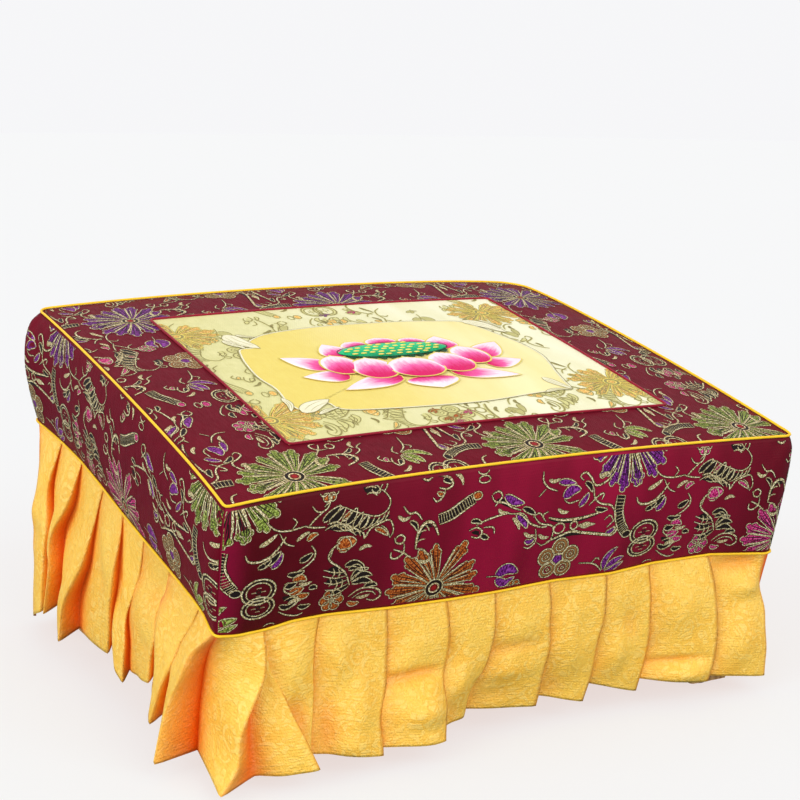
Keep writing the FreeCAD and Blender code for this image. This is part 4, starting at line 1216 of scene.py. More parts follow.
def coin(pattern, x, y, rx, ry):
    """A round coin motif with a small eye."""
    pattern.ring("gold", x, y, rx, ry, 1.5)
    pattern.ring("dark", x, y, rx * 0.88, ry * 0.88, 1.2)
    pattern.ring("gold", x, y, rx * 0.74, ry * 0.74, 1.1)
    for dx, dy in ((-0.28, 0), (0.28, 0), (0, 0.32), (0, -0.32)):
        pattern.dot("gold", x + rx * dx, y + ry * dy, rx * 0.14, ry * 0.16)
    pattern.ring("dark", x, y, rx * 0.16, ry * 0.16, 1.4)


# The repeat of the brocade, in millimetres from the middle of its big flower
REPEAT = 396.0
DROP = 118.0
VINE_WEIGHT = 0.98
VINES = [
    (1.0, "92,-27 102,-30 105,-32 119,-38 131,-41 140,-38 144,-31 142,-25 135,-19 128,-22"),
    (1.3, "82,-47 89,-44 100,-44 111,-50 119,-55 120,-60 125,-52 134,-48 144,-46 148,-56 145,-62"),
    (1.2, "134,-18 138,-13 141,-16 138,-20"), (1.4, "89,-73 91,-65 97,-61"), (1.3, "81,-26 87,-21 88,-17"),
    (1.0, "84,-42 92,-41 100,-45 108,-52"), (0.9, "90,-48 96,-50 104,-50 112,-56"),
    (0.9, "118,-52 126,-49 136,-45"), (0.9, "112,-48 116,-44 120,-40"), (0.9, "94,-45 98,-41 104,-38"),
    (1.0, "136,-50 141,-54 145,-62"), (1.2, "70,-24 74,-29 80,-30 85,-26 87,-20"),
    (1.2, "66,-42 72,-36 80,-30"), (1.2, "62,-40 72,-43 82,-44"),
    (1.2, "28,-30 36,-38 46,-41 56,-41 64,-40"), (1.8, "10,-56 13,-62 22,-64 32,-61 40,-54 46,-46"),
    (1.1, "40,-42 46,-52 54,-56"), (1.1, "52,-40 56,-35 52,-31"),
    (1.4, "70,-59 74,-65 73,-72 66,-78 58,-82"), (1.2, "52,-90 48,-96 54,-102 62,-100"),
    (1.2, "50,-108 56,-106 64,-110 60,-116 52,-118"), (1.2, "46,-118 54,-124 64,-128 70,-126"),
    (1.5, "90,-65 87,-72 90,-78 98,-84 106,-92 111,-104"), (1.1, "104,-90 94,-89 84,-85"),
    (1.1, "106,-94 95,-95 84,-91"), (1.1, "108,-98 96,-101 86,-98"), (1.1, "109,-102 98,-107 88,-106"),
    (1.1, "110,-105 100,-112 91,-112"),
    (1.6, "112,-116 122,-109 134,-109 142,-113 144,-119 138,-123 131,-121"),
    (1.0, "116,-118 124,-113 134,-113 139,-117"), (1.4, "157,-36 163,-43 170,-43 176,-50"),
    (2.4, "172,-76 173,-62 180,-53 188,-55 194,-66"),
    (1.5, "150,-63 152,-68 158,-69 160,-64 155,-61 150,-65"),
    (1.5, "160,-70 160,-78 153,-83 148,-81 148,-76"), (1.4, "168,-84 160,-78 150,-74"),
    (1.4, "172,-76 180,-78 186,-84"), (1.4, "172,-12 180,-17 186,-14"),
    (1.5, "190,-14 200,-16 206,-22 200,-26 192,-24"), (1.3, "198,-26 196,-32 190,-36 186,-32"),
    (1.4, "246,-37 250,-43 260,-45 268,-50 278,-54"), (1.4, "247,-36 253,-34 257,-39 250,-47"),
    (1.4, "268,-56 278,-58 290,-68 302,-73 308,-73"), (1.4, "225,-66 233,-64 239,-69 235,-74 228,-72"),
    (1.4, "232,-62 244,-58 262,-55 268,-56"), (1.2, "240,-65 250,-66 252,-72"),
    (1.3, "292,-62 298,-59 303,-64"), (1.3, "296,-74 298,-86 292,-92 286,-90"), (1.2, "300,-88 306,-92"),
    (1.2, "252,-115 264,-116"), (1.3, "300,-22 300,-30 306,-37 316,-41"), (1.2, "303,-38 296,-44"),
    (1.1, "324,-50 330,-54 340,-52"),
    (1.5, "344,-34 340,-30 346,-27 352,-32 358,-40 368,-38 376,-32 380,-26"),
    (1.5, "356,-42 358,-52 366,-58 376,-60 382,-66 384,-74 376,-82"), (1.2, "372,-74 378,-70 382,-76"),
    (1.3, "352,-58 362,-50 368,-48 366,-54"), (1.4, "292,-60 300,-69 313,-73 316,-78 314,-88 304,-92"),
    (1.3, "306,-68 302,-62 308,-59"), (2.2, "309,-65 322,-69 336,-70 350,-69 366,-66"),
    (2.2, "310,-89 324,-85 336,-82 352,-85 374,-89 384,-90 388,-85 384,-83"),
    (1.3, "-43,-117 -28,-119 -20,-123 -14,-129"), (1.2, "-28,-119 -24,-113 -20,-116"),
]
DARK_FILLS = [
    (9, "84,-45 100,-46 112,-51 120,-57"), (7, "112,-46 122,-46 134,-46 144,-42"),
    (9, "118,-15 126,-17 135,-21"), (9, "88,-86 98,-88 107,-92"), (8, "88,-97 99,-99 108,-99"),
    (7, "93,-109 101,-108 109,-103"), (5, "172,-74 174,-62 180,-55 187,-58"),
    (4, "228,-68 234,-69 236,-72"), (5, "252,-41 262,-46 270,-51"), (5, "310,-67 336,-71 364,-68"),
    (5, "312,-88 336,-84 372,-87"), (5, "48,-104 56,-108 62,-112"),
]
RIBS = [
    "119,-50 122,-46 124,-41", "124,-49 127,-46 129,-42", "129,-48 132,-45 134,-42",
    "134,-47 137,-44 139,-40", "139,-45 141,-42 143,-38", "88,-46 92,-44 95,-47", "96,-47 100,-46 102,-50",
    "103,-49 107,-48 109,-53", "110,-53 114,-52 116,-57", "120,-16 125,-15 130,-17",
    "121,-21 126,-20 131,-23", "93,-85 95,-90 93,-94", "98,-86 100,-91 98,-96", "91,-95 93,-99 91,-103",
    "97,-97 99,-102 97,-107", "103,-97 104,-101 103,-105", "173,-70 176,-68 180,-68",
    "174,-62 177,-60 181,-60", "179,-55 182,-57 184,-61",
]
LEAVES = [
    ("dark", 7, "86,-41 94,-36 101,-29"), ("dark", 6, "80,-39 88,-33 97,-27"),
    ("dark", 6, "102,-44 108,-38 112,-31"), ("dark", 5, "109,-48 113,-42 118,-36"),
    ("dark", 5, "115,-50 119,-45 123,-39"), ("small", 4, "98,-41 103,-37 106,-33"),
    ("small", 12, "94,-62 101,-62 108,-66"), ("small", 6, "126,-17 130,-18 134,-21"),
    ("small", 4, "130,-52 137,-55 143,-60"), ("gold", 5, "22,-50 30,-47 38,-42"),
    ("dark", 6, "28,-68 36,-64 42,-58"), ("bud", 6, "34,-72 40,-68 44,-60"),
    ("dark", 5, "50,-82 58,-84 66,-82"), ("small", 7, "56,-90 62,-88 69,-92"),
    ("small", 9, "54,-100 60,-101 67,-99"), ("dark", 5, "46,-112 54,-116 62,-112"),
    ("dark", 5, "72,-101 76,-100 80,-102"), ("small", 13, "96,-68 104,-62 113,-61"),
    ("dark", 6, "104,-84 112,-82 120,-86 124,-92"), ("dark", 5, "108,-88 116,-86 122,-91"),
    ("dark", 6, "112,-100 122,-94 132,-96"), ("dark", 6, "113,-102 124,-100 134,-104"),
    ("dark", 5, "112,-98 118,-90 128,-89"), ("small", 5, "112,-122 118,-125 124,-123"),
    ("bud", 8, "260,-39 270,-45 281,-48"), ("bud", 8, "274,-57 282,-64 286,-72"),
    ("dark", 5, "238,-72 242,-74 247,-76"), ("bud", 12, "262,-115 273,-110 286,-116"),
    ("bud", 9, "263,-119 273,-125 283,-120"), ("bud", 6, "317,-33 326,-34 336,-36"),
    ("bud", 10, "323,-48 332,-42 342,-42"), ("bud", 6, "341,-58 347,-52 351,-46"),
    ("gold", 4, "343,-77 352,-77 362,-77"), ("sprig", 7, "-12,-128 -13,-118 -9,-110 -2,-104"),
    ("sprig", 8, "-10,-128 -2,-120 8,-116"), ("sprig", 6, "-10,-129 0,-127 9,-122"),
    ("small", 5, "96,-45 102,-48 108,-49"), ("small", 5, "66,-54 70,-50 76,-49"),
    ("gold", 4, "56,-52 62,-48 68,-46"), ("dark", 6, "60,-72 66,-70 72,-66"),
    ("gold", 4, "62,-94 68,-96 74,-94"), ("dark", 6, "48,-92 54,-94 60,-92"),
    ("small", 6, "62,-106 68,-108 73,-106"), ("gold", 4, "54,-112 60,-110 66,-112"),
    ("dark", 5, "64,-118 70,-120 76,-118"), ("gold", 4, "116,-70 122,-67 128,-68"),
    ("dark", 5, "126,-108 132,-105 139,-107"), ("gold", 4, "120,-118 127,-118 133,-116"),
    ("gold", 4, "152,-44 158,-48 164,-46"), ("dark", 4, "164,-50 170,-54 172,-60"),
    ("gold", 4, "176,-88 184,-90 190,-86"), ("dark", 5, "196,-18 202,-19 204,-22"),
    ("gold", 4, "208,-14 214,-18 216,-24"), ("small", 4, "190,-28 194,-30 198,-29"),
    ("gold", 5, "270,-60 276,-66 278,-72"), ("dark", 5, "280,-52 288,-56 294,-60"),
    ("gold", 4, "284,-76 290,-80 296,-80"), ("dark", 4, "226,-58 232,-58 238,-61"),
    ("gold", 4, "254,-50 258,-54 264,-54"), ("bud", 5, "286,-84 292,-86 297,-82"),
    ("gold", 4, "306,-30 312,-32 318,-30"), ("dark", 5, "346,-36 352,-40 354,-46"),
    ("gold", 4, "362,-32 368,-30 374,-30"), ("dark", 5, "360,-62 366,-64 374,-64"),
    ("gold", 4, "300,-80 306,-84 312,-84"), ("bud", 5, "376,-88 382,-86 386,-82"),
    ("gold", 4, "318,-58 324,-62 330,-62"), ("small", 5, "346,-78 352,-77 358,-77"),
    ("dark", 5, "22,-70 28,-68 34,-64"),
]
COINS = [(25, -93, 15.5, 12.0), (26, -109, 15.0, 10.5)]
BLOSSOMS = [(96, -118, 12), (86, -14, 9)]
SCROLLS = [("193,-52 205,-49 218,-42 228,-37", "small"), ("-8,-52 -9,-67 -4,-81 2,-89", "dark")]
SCROLL_WIDTH = 9
LOOPS = [(238, -22, 6, 3, 1.0), (338, -76, 4, 4, 1.4), (322, -77, 6, 5, 1.4)]
ROSETTE = (327, -109)
ROSETTE_LOBES = 5
ROSETTE_RINGS = ((8.5, 1.3), (4.6, 0.9), (1.8, 1.0))


def rosette(pattern, x, y):
    """A flower of ringed bronze lobes round a bud."""
    for i in range(ROSETTE_LOBES):
        turn = 2 * math.pi * i / ROSETTE_LOBES + 0.3
        cx = x + 14 * math.cos(turn)
        cy = y + 13 * math.sin(turn)
        pattern.dot("bronze", cx, cy, 8.0, 8.0)
        for radius, width in ROSETTE_RINGS:
            pattern.ring("gold", cx, cy, radius, radius, width)
    pattern.bead("bud", x, y, 6, 6, 1.2)


def brocade_repeat(flower=True):
    """One repeat of the brocade, with or without its big flower."""
    repeat = Pattern()
    if flower:
        big_flower(repeat, 0, 0, 50, 5)
    for width, text in VINES:
        repeat.line("gold", parsed(text), width * VINE_WEIGHT)
    for width, text in DARK_FILLS:
        repeat.leaf("dark", parsed(text), width, None)
    for text in RIBS:
        repeat.line("gold", parsed(text), 1.2, under=0.5)
    for colour, width, text in LEAVES:
        repeat.leaf(colour, parsed(text), width * 0.62 if colour == "gold" else width)
    for place in COINS:
        coin(repeat, *place)
    for place in BLOSSOMS:
        small_flower(repeat, "small", *place)
    for text, end in SCROLLS:
        scroll_tube(repeat, parsed(text), SCROLL_WIDTH, end)
    repeat.bead("small", 237, -14, 6, 4, 0.9)
    for place in LOOPS:
        repeat.ring("gold", *place)
    rosette(repeat, *ROSETTE)
    return repeat


ROW_COLOURS = [
    {"bloom": "green", "bud": "purple", "sprig": "green", "small": "orange"},
    {"bloom": "orange", "bud": "purple", "sprig": "green", "small": "orange"},
    {"bloom": "purple", "bud": "purple", "sprig": "purple", "small": "pink"},
    {"bloom": "pink", "bud": "purple", "sprig": "purple", "small": "pink"},
]
CREAM_COLOURS = {"bloom": "amber", "bud": "olive", "sprig": "olive", "small": "amber", "gold": "shade",
                 "dark": "straw", "bronze": "straw"}
TURNED_STRETCH = (1.017, 1.043)


def copies(repeat, turned, at, first, low, high, palette=None):
    """Threads of all the copies of the repeat that reach a flat area."""
    found = {}
    for j in range(-4, 5):
        for i in range(-3, 4):
            shift = np.array([REPEAT * i + REPEAT / 2 * j, -DROP * j])
            colours = palette or ROW_COLOURS[(2 * (i + first) + j) % 4]
            for colour, lift, points, halves in repeat.threads:
                p = points + shift
                if turned:
                    p = np.stack([p[:, 1] * TURNED_STRETCH[0], -p[:, 0] * TURNED_STRETCH[1]], -1)
                p = p + np.asarray(at)
                if (p.max(0) < low).any() or (p.min(0) > high).any():
                    continue
                key = colours.get(colour, colour)
                found.setdefault((key, thread_height(colour, lift)), []).append((p, halves))
    return found


THREAD_STEP = 2.5


def trimmed(part, low, high):
    """Cuts flat threads off at the edges of an area."""
    for axis in (0, 1):
        for sign, limit in ((-1, low[axis]), (1, high[axis])):
            place = [0.0, 0.0, 0.0]
            place[axis] = limit * MM
            facing = [0.0, 0.0, 0.0]
            facing[axis] = sign
            everything = part.verts[:] + part.edges[:] + part.faces[:]
            bmesh.ops.bisect_plane(part, geom=everything, plane_co=place, plane_no=facing, clear_outer=True)


def laid(name, cloth, found, low, high, keep=None):
    """Grows threads flat, trims them to an area and lays them on a cloth."""
    work = bmesh.new()
    names = sorted({key for key, _ in found})
    for (key, height), lines in sorted(found.items()):
        flat = [np.column_stack([p * MM, np.zeros(len(p))]) for p, _ in lines]
        mesh = grown(THREAD_TREE, path_mesh(flat, [h * MM for _, h in lines]),
                     {"Step": THREAD_STEP * MM, "Material": THREADS[key]})
        part = bmesh.new()
        part.from_mesh(mesh)
        trimmed(part, low, high)
        if keep is not None:
            hidden = [f for f in part.faces if not keep(f.calc_center_median() / MM)]
            bmesh.ops.delete(part, geom=hidden, context="FACES")
        if part.verts:
            flat = np.array([v.co for v in part.verts]) / MM
            for vert, p in zip(part.verts, cloth(flat[:, 0], flat[:, 1], height)):
                vert.co = p
            for face in part.faces:
                face.material_index = names.index(key)
                face.smooth = True
            part.to_mesh(mesh)
            work.from_mesh(mesh)
        part.free()
        bpy.data.meshes.remove(mesh)
    mesh = bpy.data.meshes.new(name)
    work.to_mesh(mesh)
    work.free()
    piece(name, mesh, [THREADS[n] for n in names])


# Where the repeat starts on the top and, with its row of colours, on each wall
TOP_PHASE = (14.0, -233.0)
BAND_PHASE = {"front": (104.0, 1), "left": (-170.0, 1), "right": (20.0, 0), "rear": (-60.0, 0)}
BAND_LEVEL = 12.0
TOP_MARGIN = 4.0
BAND_MARGIN = (1.0, 3.0)
PANEL_U = 206.0
PANEL_V = 176.0
PANEL_TUCK = 3.0


def lay_brocade():
    """The woven threads of the top, round the panel, and of the four walls."""
    repeat = brocade_repeat()
    high = np.array([WIDTH / 2 - TOP_MARGIN, DEPTH / 2 - TOP_MARGIN])
    laid("brocade_top", COVER["top"].at, copies(repeat, True, TOP_PHASE, 0, -high, high), -high, high,
         lambda p: abs(p.x) > PANEL_U - PANEL_TUCK or abs(p.y) > PANEL_V - PANEL_TUCK)
    for name, _, half in WALLS:
        where, first = BAND_PHASE[name]
        low = np.array([-half + BAND_MARGIN[0], -BAND + BAND_MARGIN[1]])
        high = np.array([half - BAND_MARGIN[0], -BAND_MARGIN[1]])

        def place(a, b, lift, cloth=COVER[name]):
            return cloth.at(a, -b, lift)
        found = copies(repeat, False, (where, BAND_LEVEL), first, low, high)
        laid("brocade_" + name, place, found, low, high)


# The lotus panel

FIELD_OUTLINE = [
    (-119, 93), (-98, 101), (-60, 107), (-18, 109), (55, 107), (95, 102), (124, 95), (134, 76), (144, 45),
    (152, 16), (155, -20), (148, -50), (141, -72), (134, -100), (129, -118), (112, -118), (80, -122),
    (34, -129), (-8, -130), (-68, -126), (-110, -120), (-126, -112), (-130, -98), (-142, -94),
    (-152, -104), (-163, -106), (-166, -84), (-163, -52), (-167, -19), (-164, 16), (-159, 42), (-152, 60),
    (-134, 62), (-136, 78),
]
FIELD_TONGUES = [
    (20, "-150,106 -146,84 -132,58"), (9, "-160,90 -154,76 -146,62"), (6, "-140,104 -132,96 -122,92"),
    (7, "-168,-76 -167,-92 -173,-109"), (19, "-162,-114 -147,-100 -126,-90"),
    (6, "-150,-121 -138,-114 -124,-110"), (18, "126,98 143,82 157,52"), (6, "148,98 156,84 160,68"),
    (11, "117,-84 122,-100 130,-119"), (6, "98,-121 112,-117 128,-119"),
]
PETALS = [
    ((0, 36), (-1, 61), 36, 0), ((-31, 32), (-40, 54), 32, 0), ((31, 32), (39, 54), 32, 0),
    ((-60, 12), (-66, 53), 36, 1), ((59, 12), (66, 53), 36, 1),
    ((-84, -16), (-126, 25), 34, 1), ((84, -16), (125, 25), 34, 1),
    ((-78, -40), (-126, -31), 30, 1), ((78, -40), (125, -31), 30, 1),
    ((-28, -52), (-101, -74), 30, 2), ((28, -52), (99, -74), 30, 2), ((-2, -58), (-2, -91), 58, 2),
    ((-76, -36), (-74, 18), 40, 4), ((75, -36), (73, 18), 40, 4),
    ((-49, -55), (-42, 3), 47, 5), ((45, -55), (39, 3), 47, 5), ((-2, -61), (-2, -4), 60, 6),
]
BORDER_LIFT = 0.5
FIELD_LIFT = 1.0
BORDER_FLOWERS = [(-200, 116, 46), (-200, -122, 48), (186, -108, 46), (168, 124, 44)]
BORDER_BLOSSOMS = [
    (-22, -157, "orange"), (-8, -151, "pink"), (-34, -161, "orange"), (36, -158, "olive"),
    (-18, 146, "purple"), (86, 140, "olive"), (18, 150, "pink"), (-40, -140, "orange"),
    (-28, -170, "pink"),
]
FIELD_MIDDLE = np.array([0.0, -10.0])
FIELD_RINGS = 28
FIELD_POINTS = 168
PANEL_COLUMNS = 83
PANEL_ROWS = 71
TRIM_CORNER = 4.0
TRIM_RADIUS = 1.3
TRIM_LIFT = 1.3
TRIM_STEP = 8.0
BORDER_PHASE = (-36.0, -20.0)
BORDER_MARGIN = 1.5
FLOWER_COLOURS = {"bloom": "amber", "gold": "bright", "dark": "shade", "red": "amber"}


def lay_border():
    """The cream cloth of the panel."""
    u, v = np.meshgrid(np.linspace(-PANEL_U, PANEL_U, PANEL_COLUMNS),
                       np.linspace(-PANEL_V, PANEL_V, PANEL_ROWS))
    mesh = mesh_from("panel_border_cloth", COVER["top"].at(u, v, BORDER_LIFT).reshape(-1, 3),
                     grid_faces(PANEL_ROWS, PANEL_COLUMNS), np.stack([u, v], -1).reshape(-1, 2) * MM)
    border = piece("panel_border_cloth", mesh, [CREAM_SATIN], ["panel_border"])


def lay_field():
    """The satin field, as rings of points from its middle to its curved outline."""
    outline = closed_line(FIELD_OUTLINE, FIELD_POINTS)
    rings = [outline * k + FIELD_MIDDLE * (1 - k) for k in np.linspace(0, 1, FIELD_RINGS + 1)[1:]]
    flat = np.concatenate([FIELD_MIDDLE[None]] + rings)
    mesh = mesh_from("lotus_field_cloth", COVER["top"].at(flat[:, 0], flat[:, 1], FIELD_LIFT),
                     disc_faces(FIELD_RINGS, len(outline)), flat * MM)
    field = piece("lotus_field_cloth", mesh, [FIELD_SATIN], ["lotus_ground"])


def lay_trim():
    """The crimson cord round the panel, with rounded corners."""
    corners = []
    for su, sv in ((-1, -1), (1, -1), (1, 1), (-1, 1)):
        for turn in (0, 45, 90):
            a = math.radians(turn if su * sv > 0 else 90 - turn)
            corners.append(np.array([su * (PANEL_U - TRIM_CORNER + TRIM_CORNER * math.cos(a)),
                                     sv * (PANEL_V - TRIM_CORNER + TRIM_CORNER * math.sin(a))]))
    ring = []
    for here, there in zip(corners, corners[1:] + corners[:1]):
        steps = max(1, int(math.dist(here, there) / TRIM_STEP))
        ring += [here + (there - here) * k / steps for k in range(steps)]
    ring = np.array(ring)
    line = COVER["top"].at(ring[:, 0], ring[:, 1], TRIM_LIFT)
    lay_cord("panel_trim_cord", line, TRIM_RADIUS, TRIM_CORD, "panel_trim")


def border_threads(low):
    """The sprigs, flowers and blossoms of the cream border, by colour and height."""
    woven = {}
    found = copies(brocade_repeat(False), True, BORDER_PHASE, 0, low, -low, CREAM_COLOURS)
    for (key, height), lines in found.items():
        woven.setdefault((key, BORDER_LIFT + 0.1 + height * 0.5), []).extend(lines)
    pattern = Pattern()
    for k, (u, v, radius) in enumerate(BORDER_FLOWERS):
        big_flower(pattern, u, v, radius, 40 + k)
    for u, v, key in BORDER_BLOSSOMS:
        pattern.leaf(key, [(u - 7, v - 3), (u, v + 2), (u + 8, v + 1)], 5, "shade", 0.6)
        pattern.leaf(key, [(u - 2, v - 6), (u + 1, v - 1), (u + 2, v + 7)], 4, "shade", 0.6)
    for colour, lift, points, halves in pattern.threads:
        key = FLOWER_COLOURS.get(colour, colour)
        height = BORDER_LIFT + 0.14 + thread_height(colour, lift) * 0.6
        woven.setdefault((key, height), []).append((points, halves))
    return woven


def field_edge():
    """The stitched outline of the field and the pale tongues that curl out of its corners."""
    edge = Pattern()
    outline = closed_line(FIELD_OUTLINE, FIELD_POINTS)
    ring = np.concatenate([outline, outline[:1]])
    beside = ring * 1.012 + np.array([0, 0.1])
    edge.threads.append(("silver", FIELD_LIFT + 0.2, ring, np.full(len(ring), 0.8)))
    edge.threads.append(("shade", FIELD_LIFT + 0.1, beside, np.full(len(ring), 0.35)))
    for width, text in FIELD_TONGUES:
        edge.leaf("silver", parsed(text), width, "shade", 0.6)
        spine = smooth(parsed(text), 7)
        for k in (-0.2, 0.12):
            edge.line("olive", (spine + sideways(spine) * width * k)[1:-1], 0.6)
    return edge


def lay_panel_threads():
    """The woven threads of the cream border and the edge of the field."""
    low = np.array([-PANEL_U + BORDER_MARGIN, -PANEL_V + BORDER_MARGIN])
    woven = border_threads(low)
    for colour, lift, points, halves in field_edge().threads:
        height = FIELD_LIFT + (0.3 if colour == "silver" else 0.4) if lift is None else lift
        woven.setdefault((colour, height), []).append((points, halves))
    laid("panel_sprigs", COVER["top"].at, woven, low, -low)


# The lotus: petals in layers, the pod with its seeds, and the threads along their edges

PETAL_ACROSS = 8
PETAL_ALONG = 20
PETAL_LIFT = 0.4
LAYER_LIFT = 0.28
OUTER_LAYERS = (1, 2)
OUTER_FOOT = 0.36
FRONT_LAYER = 4
POD_MIDDLE = np.array([0.0, 20.5])
POD_WIDE = 62.0
POD_TALL = 19.5
POD_RINGS = 10
POD_TURNS = 72
POD_RIM = (63.0, 20.4)
POD_LEAF_STEP = 10.5
POD_LEAF_HALVES = np.array([5.0, 5.2, 4.4, 2.6, 0.4])
SEED_RADIUS = 2.3
SEED_STEP = (10.4, 7.2)
SEED_STRAY = (1.6, 0.9)
SEED_OVAL = (57.0, 17.0)
LOTUS_AREA = np.array([170.0, 140.0])


def petal_patch(base, tip, width, layer):
    """A raised petal: rounded at its foot, drawn to a point at its tip."""
    base = np.array(base, float)
    d = np.array(tip, float) - base
    length = np.linalg.norm(d)
    d /= length
    s = np.array([-d[1], d[0]])
    t = np.linspace(0, 1, PETAL_ALONG + 1)
    outer = layer in OUTER_LAYERS
    if outer:
        foot = np.sqrt(np.clip(1 - ((OUTER_FOOT - np.minimum(t, OUTER_FOOT)) / OUTER_FOOT) ** 2, 0, 1))
        blade = np.maximum(t - OUTER_FOOT, 0) / (1 - OUTER_FOOT)
        half = width / 2 * foot * (1 - blade ** 1.75)
    else:
        oval = np.sqrt(np.clip(1 - ((t - 0.46) / 0.47) ** 2, 0, 1))
        point = np.where(t > 0.5, 0.24 * np.clip((1 - t) / 0.2, 0, 1), 0)
        half = width / 2 * np.maximum(oval, point)
    side = np.linspace(-1, 1, PETAL_ACROSS + 1)
    place = base + d * (t * length)[:, None, None] + s * (half[:, None] * side)[..., None]
    padding = (1 - side ** 2) * np.sin(np.pi * np.clip(t, 0.02, 0.98))[:, None]
    lift = FIELD_LIFT + PETAL_LIFT + LAYER_LIFT * layer + padding
    pale_edge = 0.45 * np.abs(side) ** 5 * np.minimum(2.5 * t, 1)[:, None]
    tint = (0.1 if outer else 0.0) + t[:, None] * 0.92 + pale_edge
    return place, lift, tint, np.concatenate([place[:, 0], place[::-1, -1]])


def lay_petals(pattern):
    """The padded petals, with their outlines added to a pattern."""
    points = []
    faces = []
    tints = []
    places = []
    for base, tip, width, layer in PETALS:
        place, lift, tint, edge = petal_patch(base, tip, width, layer)
        rows, columns = lift.shape
        faces += grid_faces(rows, columns, len(points))
        points.extend(COVER["top"].at(place[..., 0], place[..., 1], lift).reshape(-1, 3))
        tints.extend(tint.ravel())
        side, along = np.meshgrid(np.linspace(0, 0.03, columns), np.linspace(0, 0.06, rows))
        places.extend(np.stack([side, along], -1).reshape(-1, 2))
        ring = np.concatenate([edge, edge[:1]])
        level = FIELD_LIFT + LAYER_LIFT * layer
        pattern.threads.append(("bright", level + 0.55, ring, np.full(len(ring), 0.75)))
        if layer >= FRONT_LAYER:
            pattern.threads.append(("bright", level + 0.42, ring, np.full(len(ring), 1.2)))
    mesh = mesh_from("lotus_petal_silk", points, faces, places, tints)
    piece("lotus_petal_silk", mesh, [PETAL_SILK], ["lotus_petals"])


def lay_pod():
    """The oval seed pod, raised in its middle."""
    turn = np.linspace(0, 2 * np.pi, POD_TURNS, endpoint=False)
    oval = np.stack([POD_WIDE * np.cos(turn), POD_TALL * np.sin(turn)], -1)
    flat = [POD_MIDDLE]
    lift = [FIELD_LIFT + 2.6]
    for k in range(1, POD_RINGS + 1):
        flat.extend(oval * k / POD_RINGS + POD_MIDDLE)
        lift.extend([FIELD_LIFT + 1.4 + 1.2 * (1 - (k / POD_RINGS) ** 4)] * POD_TURNS)
    flat = np.array(flat)
    tint = 0.5 + 0.35 * (flat[:, 1] - POD_MIDDLE[1]) / POD_TALL
    points = COVER["top"].at(flat[:, 0], flat[:, 1], np.array(lift))
    mesh = mesh_from("lotus_pod_silk", points, disc_faces(POD_RINGS, POD_TURNS), flat * MM, tint)
    piece("lotus_pod_silk", mesh, [POD_SILK], ["lotus_pod"])


def lay_seeds():
    """Rows of seeds on the pod, a little out of line."""
    pick = random.Random(9)
    seeds = []
    for row in range(-2, 3):
        for k in range(-6, 7):
            u = (k + row % 2 / 2) * SEED_STEP[0] + pick.uniform(-SEED_STRAY[0], SEED_STRAY[0])
            v = row * SEED_STEP[1] + pick.uniform(-SEED_STRAY[1], SEED_STRAY[1])
            if (u / SEED_OVAL[0]) ** 2 + (v / SEED_OVAL[1]) ** 2 < 1:
                seeds.append((u, v))
    seeds = np.array(seeds) + POD_MIDDLE
    spots = COVER["top"].at(seeds[:, 0], seeds[:, 1], FIELD_LIFT + 2.5)
    mesh = grown(SEED_TREE, path_mesh([[p] for p in spots]),
                 {"Radius": SEED_RADIUS * MM, "Material": THREADS["bright"]})
    mesh.shade_smooth()
    piece("lotus_pod_seeds", mesh, None)


def pod_rim(pattern):
    """Dark leaves that hang from the front of the pod, and the thread round its edge."""
    middle = POD_MIDDLE[1]
    for k in range(-5, 6):
        u = k * POD_LEAF_STEP
        v = middle - POD_TALL * math.sqrt(max(0.0, 1 - (u / POD_RIM[0]) ** 2))
        spine = smooth([(u, v + 5), (u, v - 3), (u, v - 8)], len(POD_LEAF_HALVES))
        pattern.threads.append(("leaf", FIELD_LIFT + 1.5, spine, POD_LEAF_HALVES))
    turn = np.linspace(0, 2 * np.pi, 49)
    ring = np.stack([POD_RIM[0] * np.cos(turn), POD_RIM[1] * np.sin(turn) + middle], -1)
    pattern.threads.append(("leaf", FIELD_LIFT + 1.9, ring, np.full(len(ring), 0.5)))


def lay_lotus():
    """The embroidered lotus."""
    pattern = Pattern()
    lay_petals(pattern)
    lay_pod()
    lay_seeds()
    pod_rim(pattern)
    found = {}
    for colour, lift, points, halves in pattern.threads:
        found.setdefault((colour, lift), []).append((points, halves))
    laid("lotus_outlines", COVER["top"].at, found, -LOTUS_AREA, LOTUS_AREA)


# The pleated skirt: fold lines by side, each as along, out and height from its seam to its hem

FRONT_FOLDS = [
    [(-252, 1, 142), (-254, 7, 122), (-257, 10, 103), (-272, 12, 81), (-282, 13, 60), (-287, 14, 32),
     (-304, 16, 10)],
    [(-253, -3, 142), (-247, -2, 105), (-235, 5, 76), (-224, 14, 48), (-212, 20, 19)],
    [(-200, 0, 146), (-206, -2, 116), (-207, -2, 84), (-211, 1, 54), (-214, 3, 22)],
    [(-133, 0, 144), (-134, 0, 111), (-138, 2, 78), (-145, 6, 47), (-145, 10, 15)],
    [(-72, 0, 144), (-71, 1, 111), (-75, -4, 78), (-78, 4, 49), (-85, 16, 20)],
    [(-21, 0, 144), (-23, 0, 112), (-27, -5, 81), (-41, -13, 54), (-47, -18, 24)],
    [(37, 0, 143), (38, 0, 113), (38, -4, 82), (35, -10, 52), (32, -17, 21)],
    [(102, 0, 147), (100, 0, 114), (94, -4, 83), (91, -10, 49), (84, -15, 17)],
    [(150, 0, 150), (151, 0, 118), (152, -2, 85), (151, -8, 51), (145, -13, 18)],
    [(220, 0, 148), (225, 5, 117), (226, 8, 85), (226, 8, 53), (218, 6, 22)],
    [(290, 0, 143), (288, -5, 111), (290, 3, 81), (289, 7, 49), (288, 8, 17)],
]
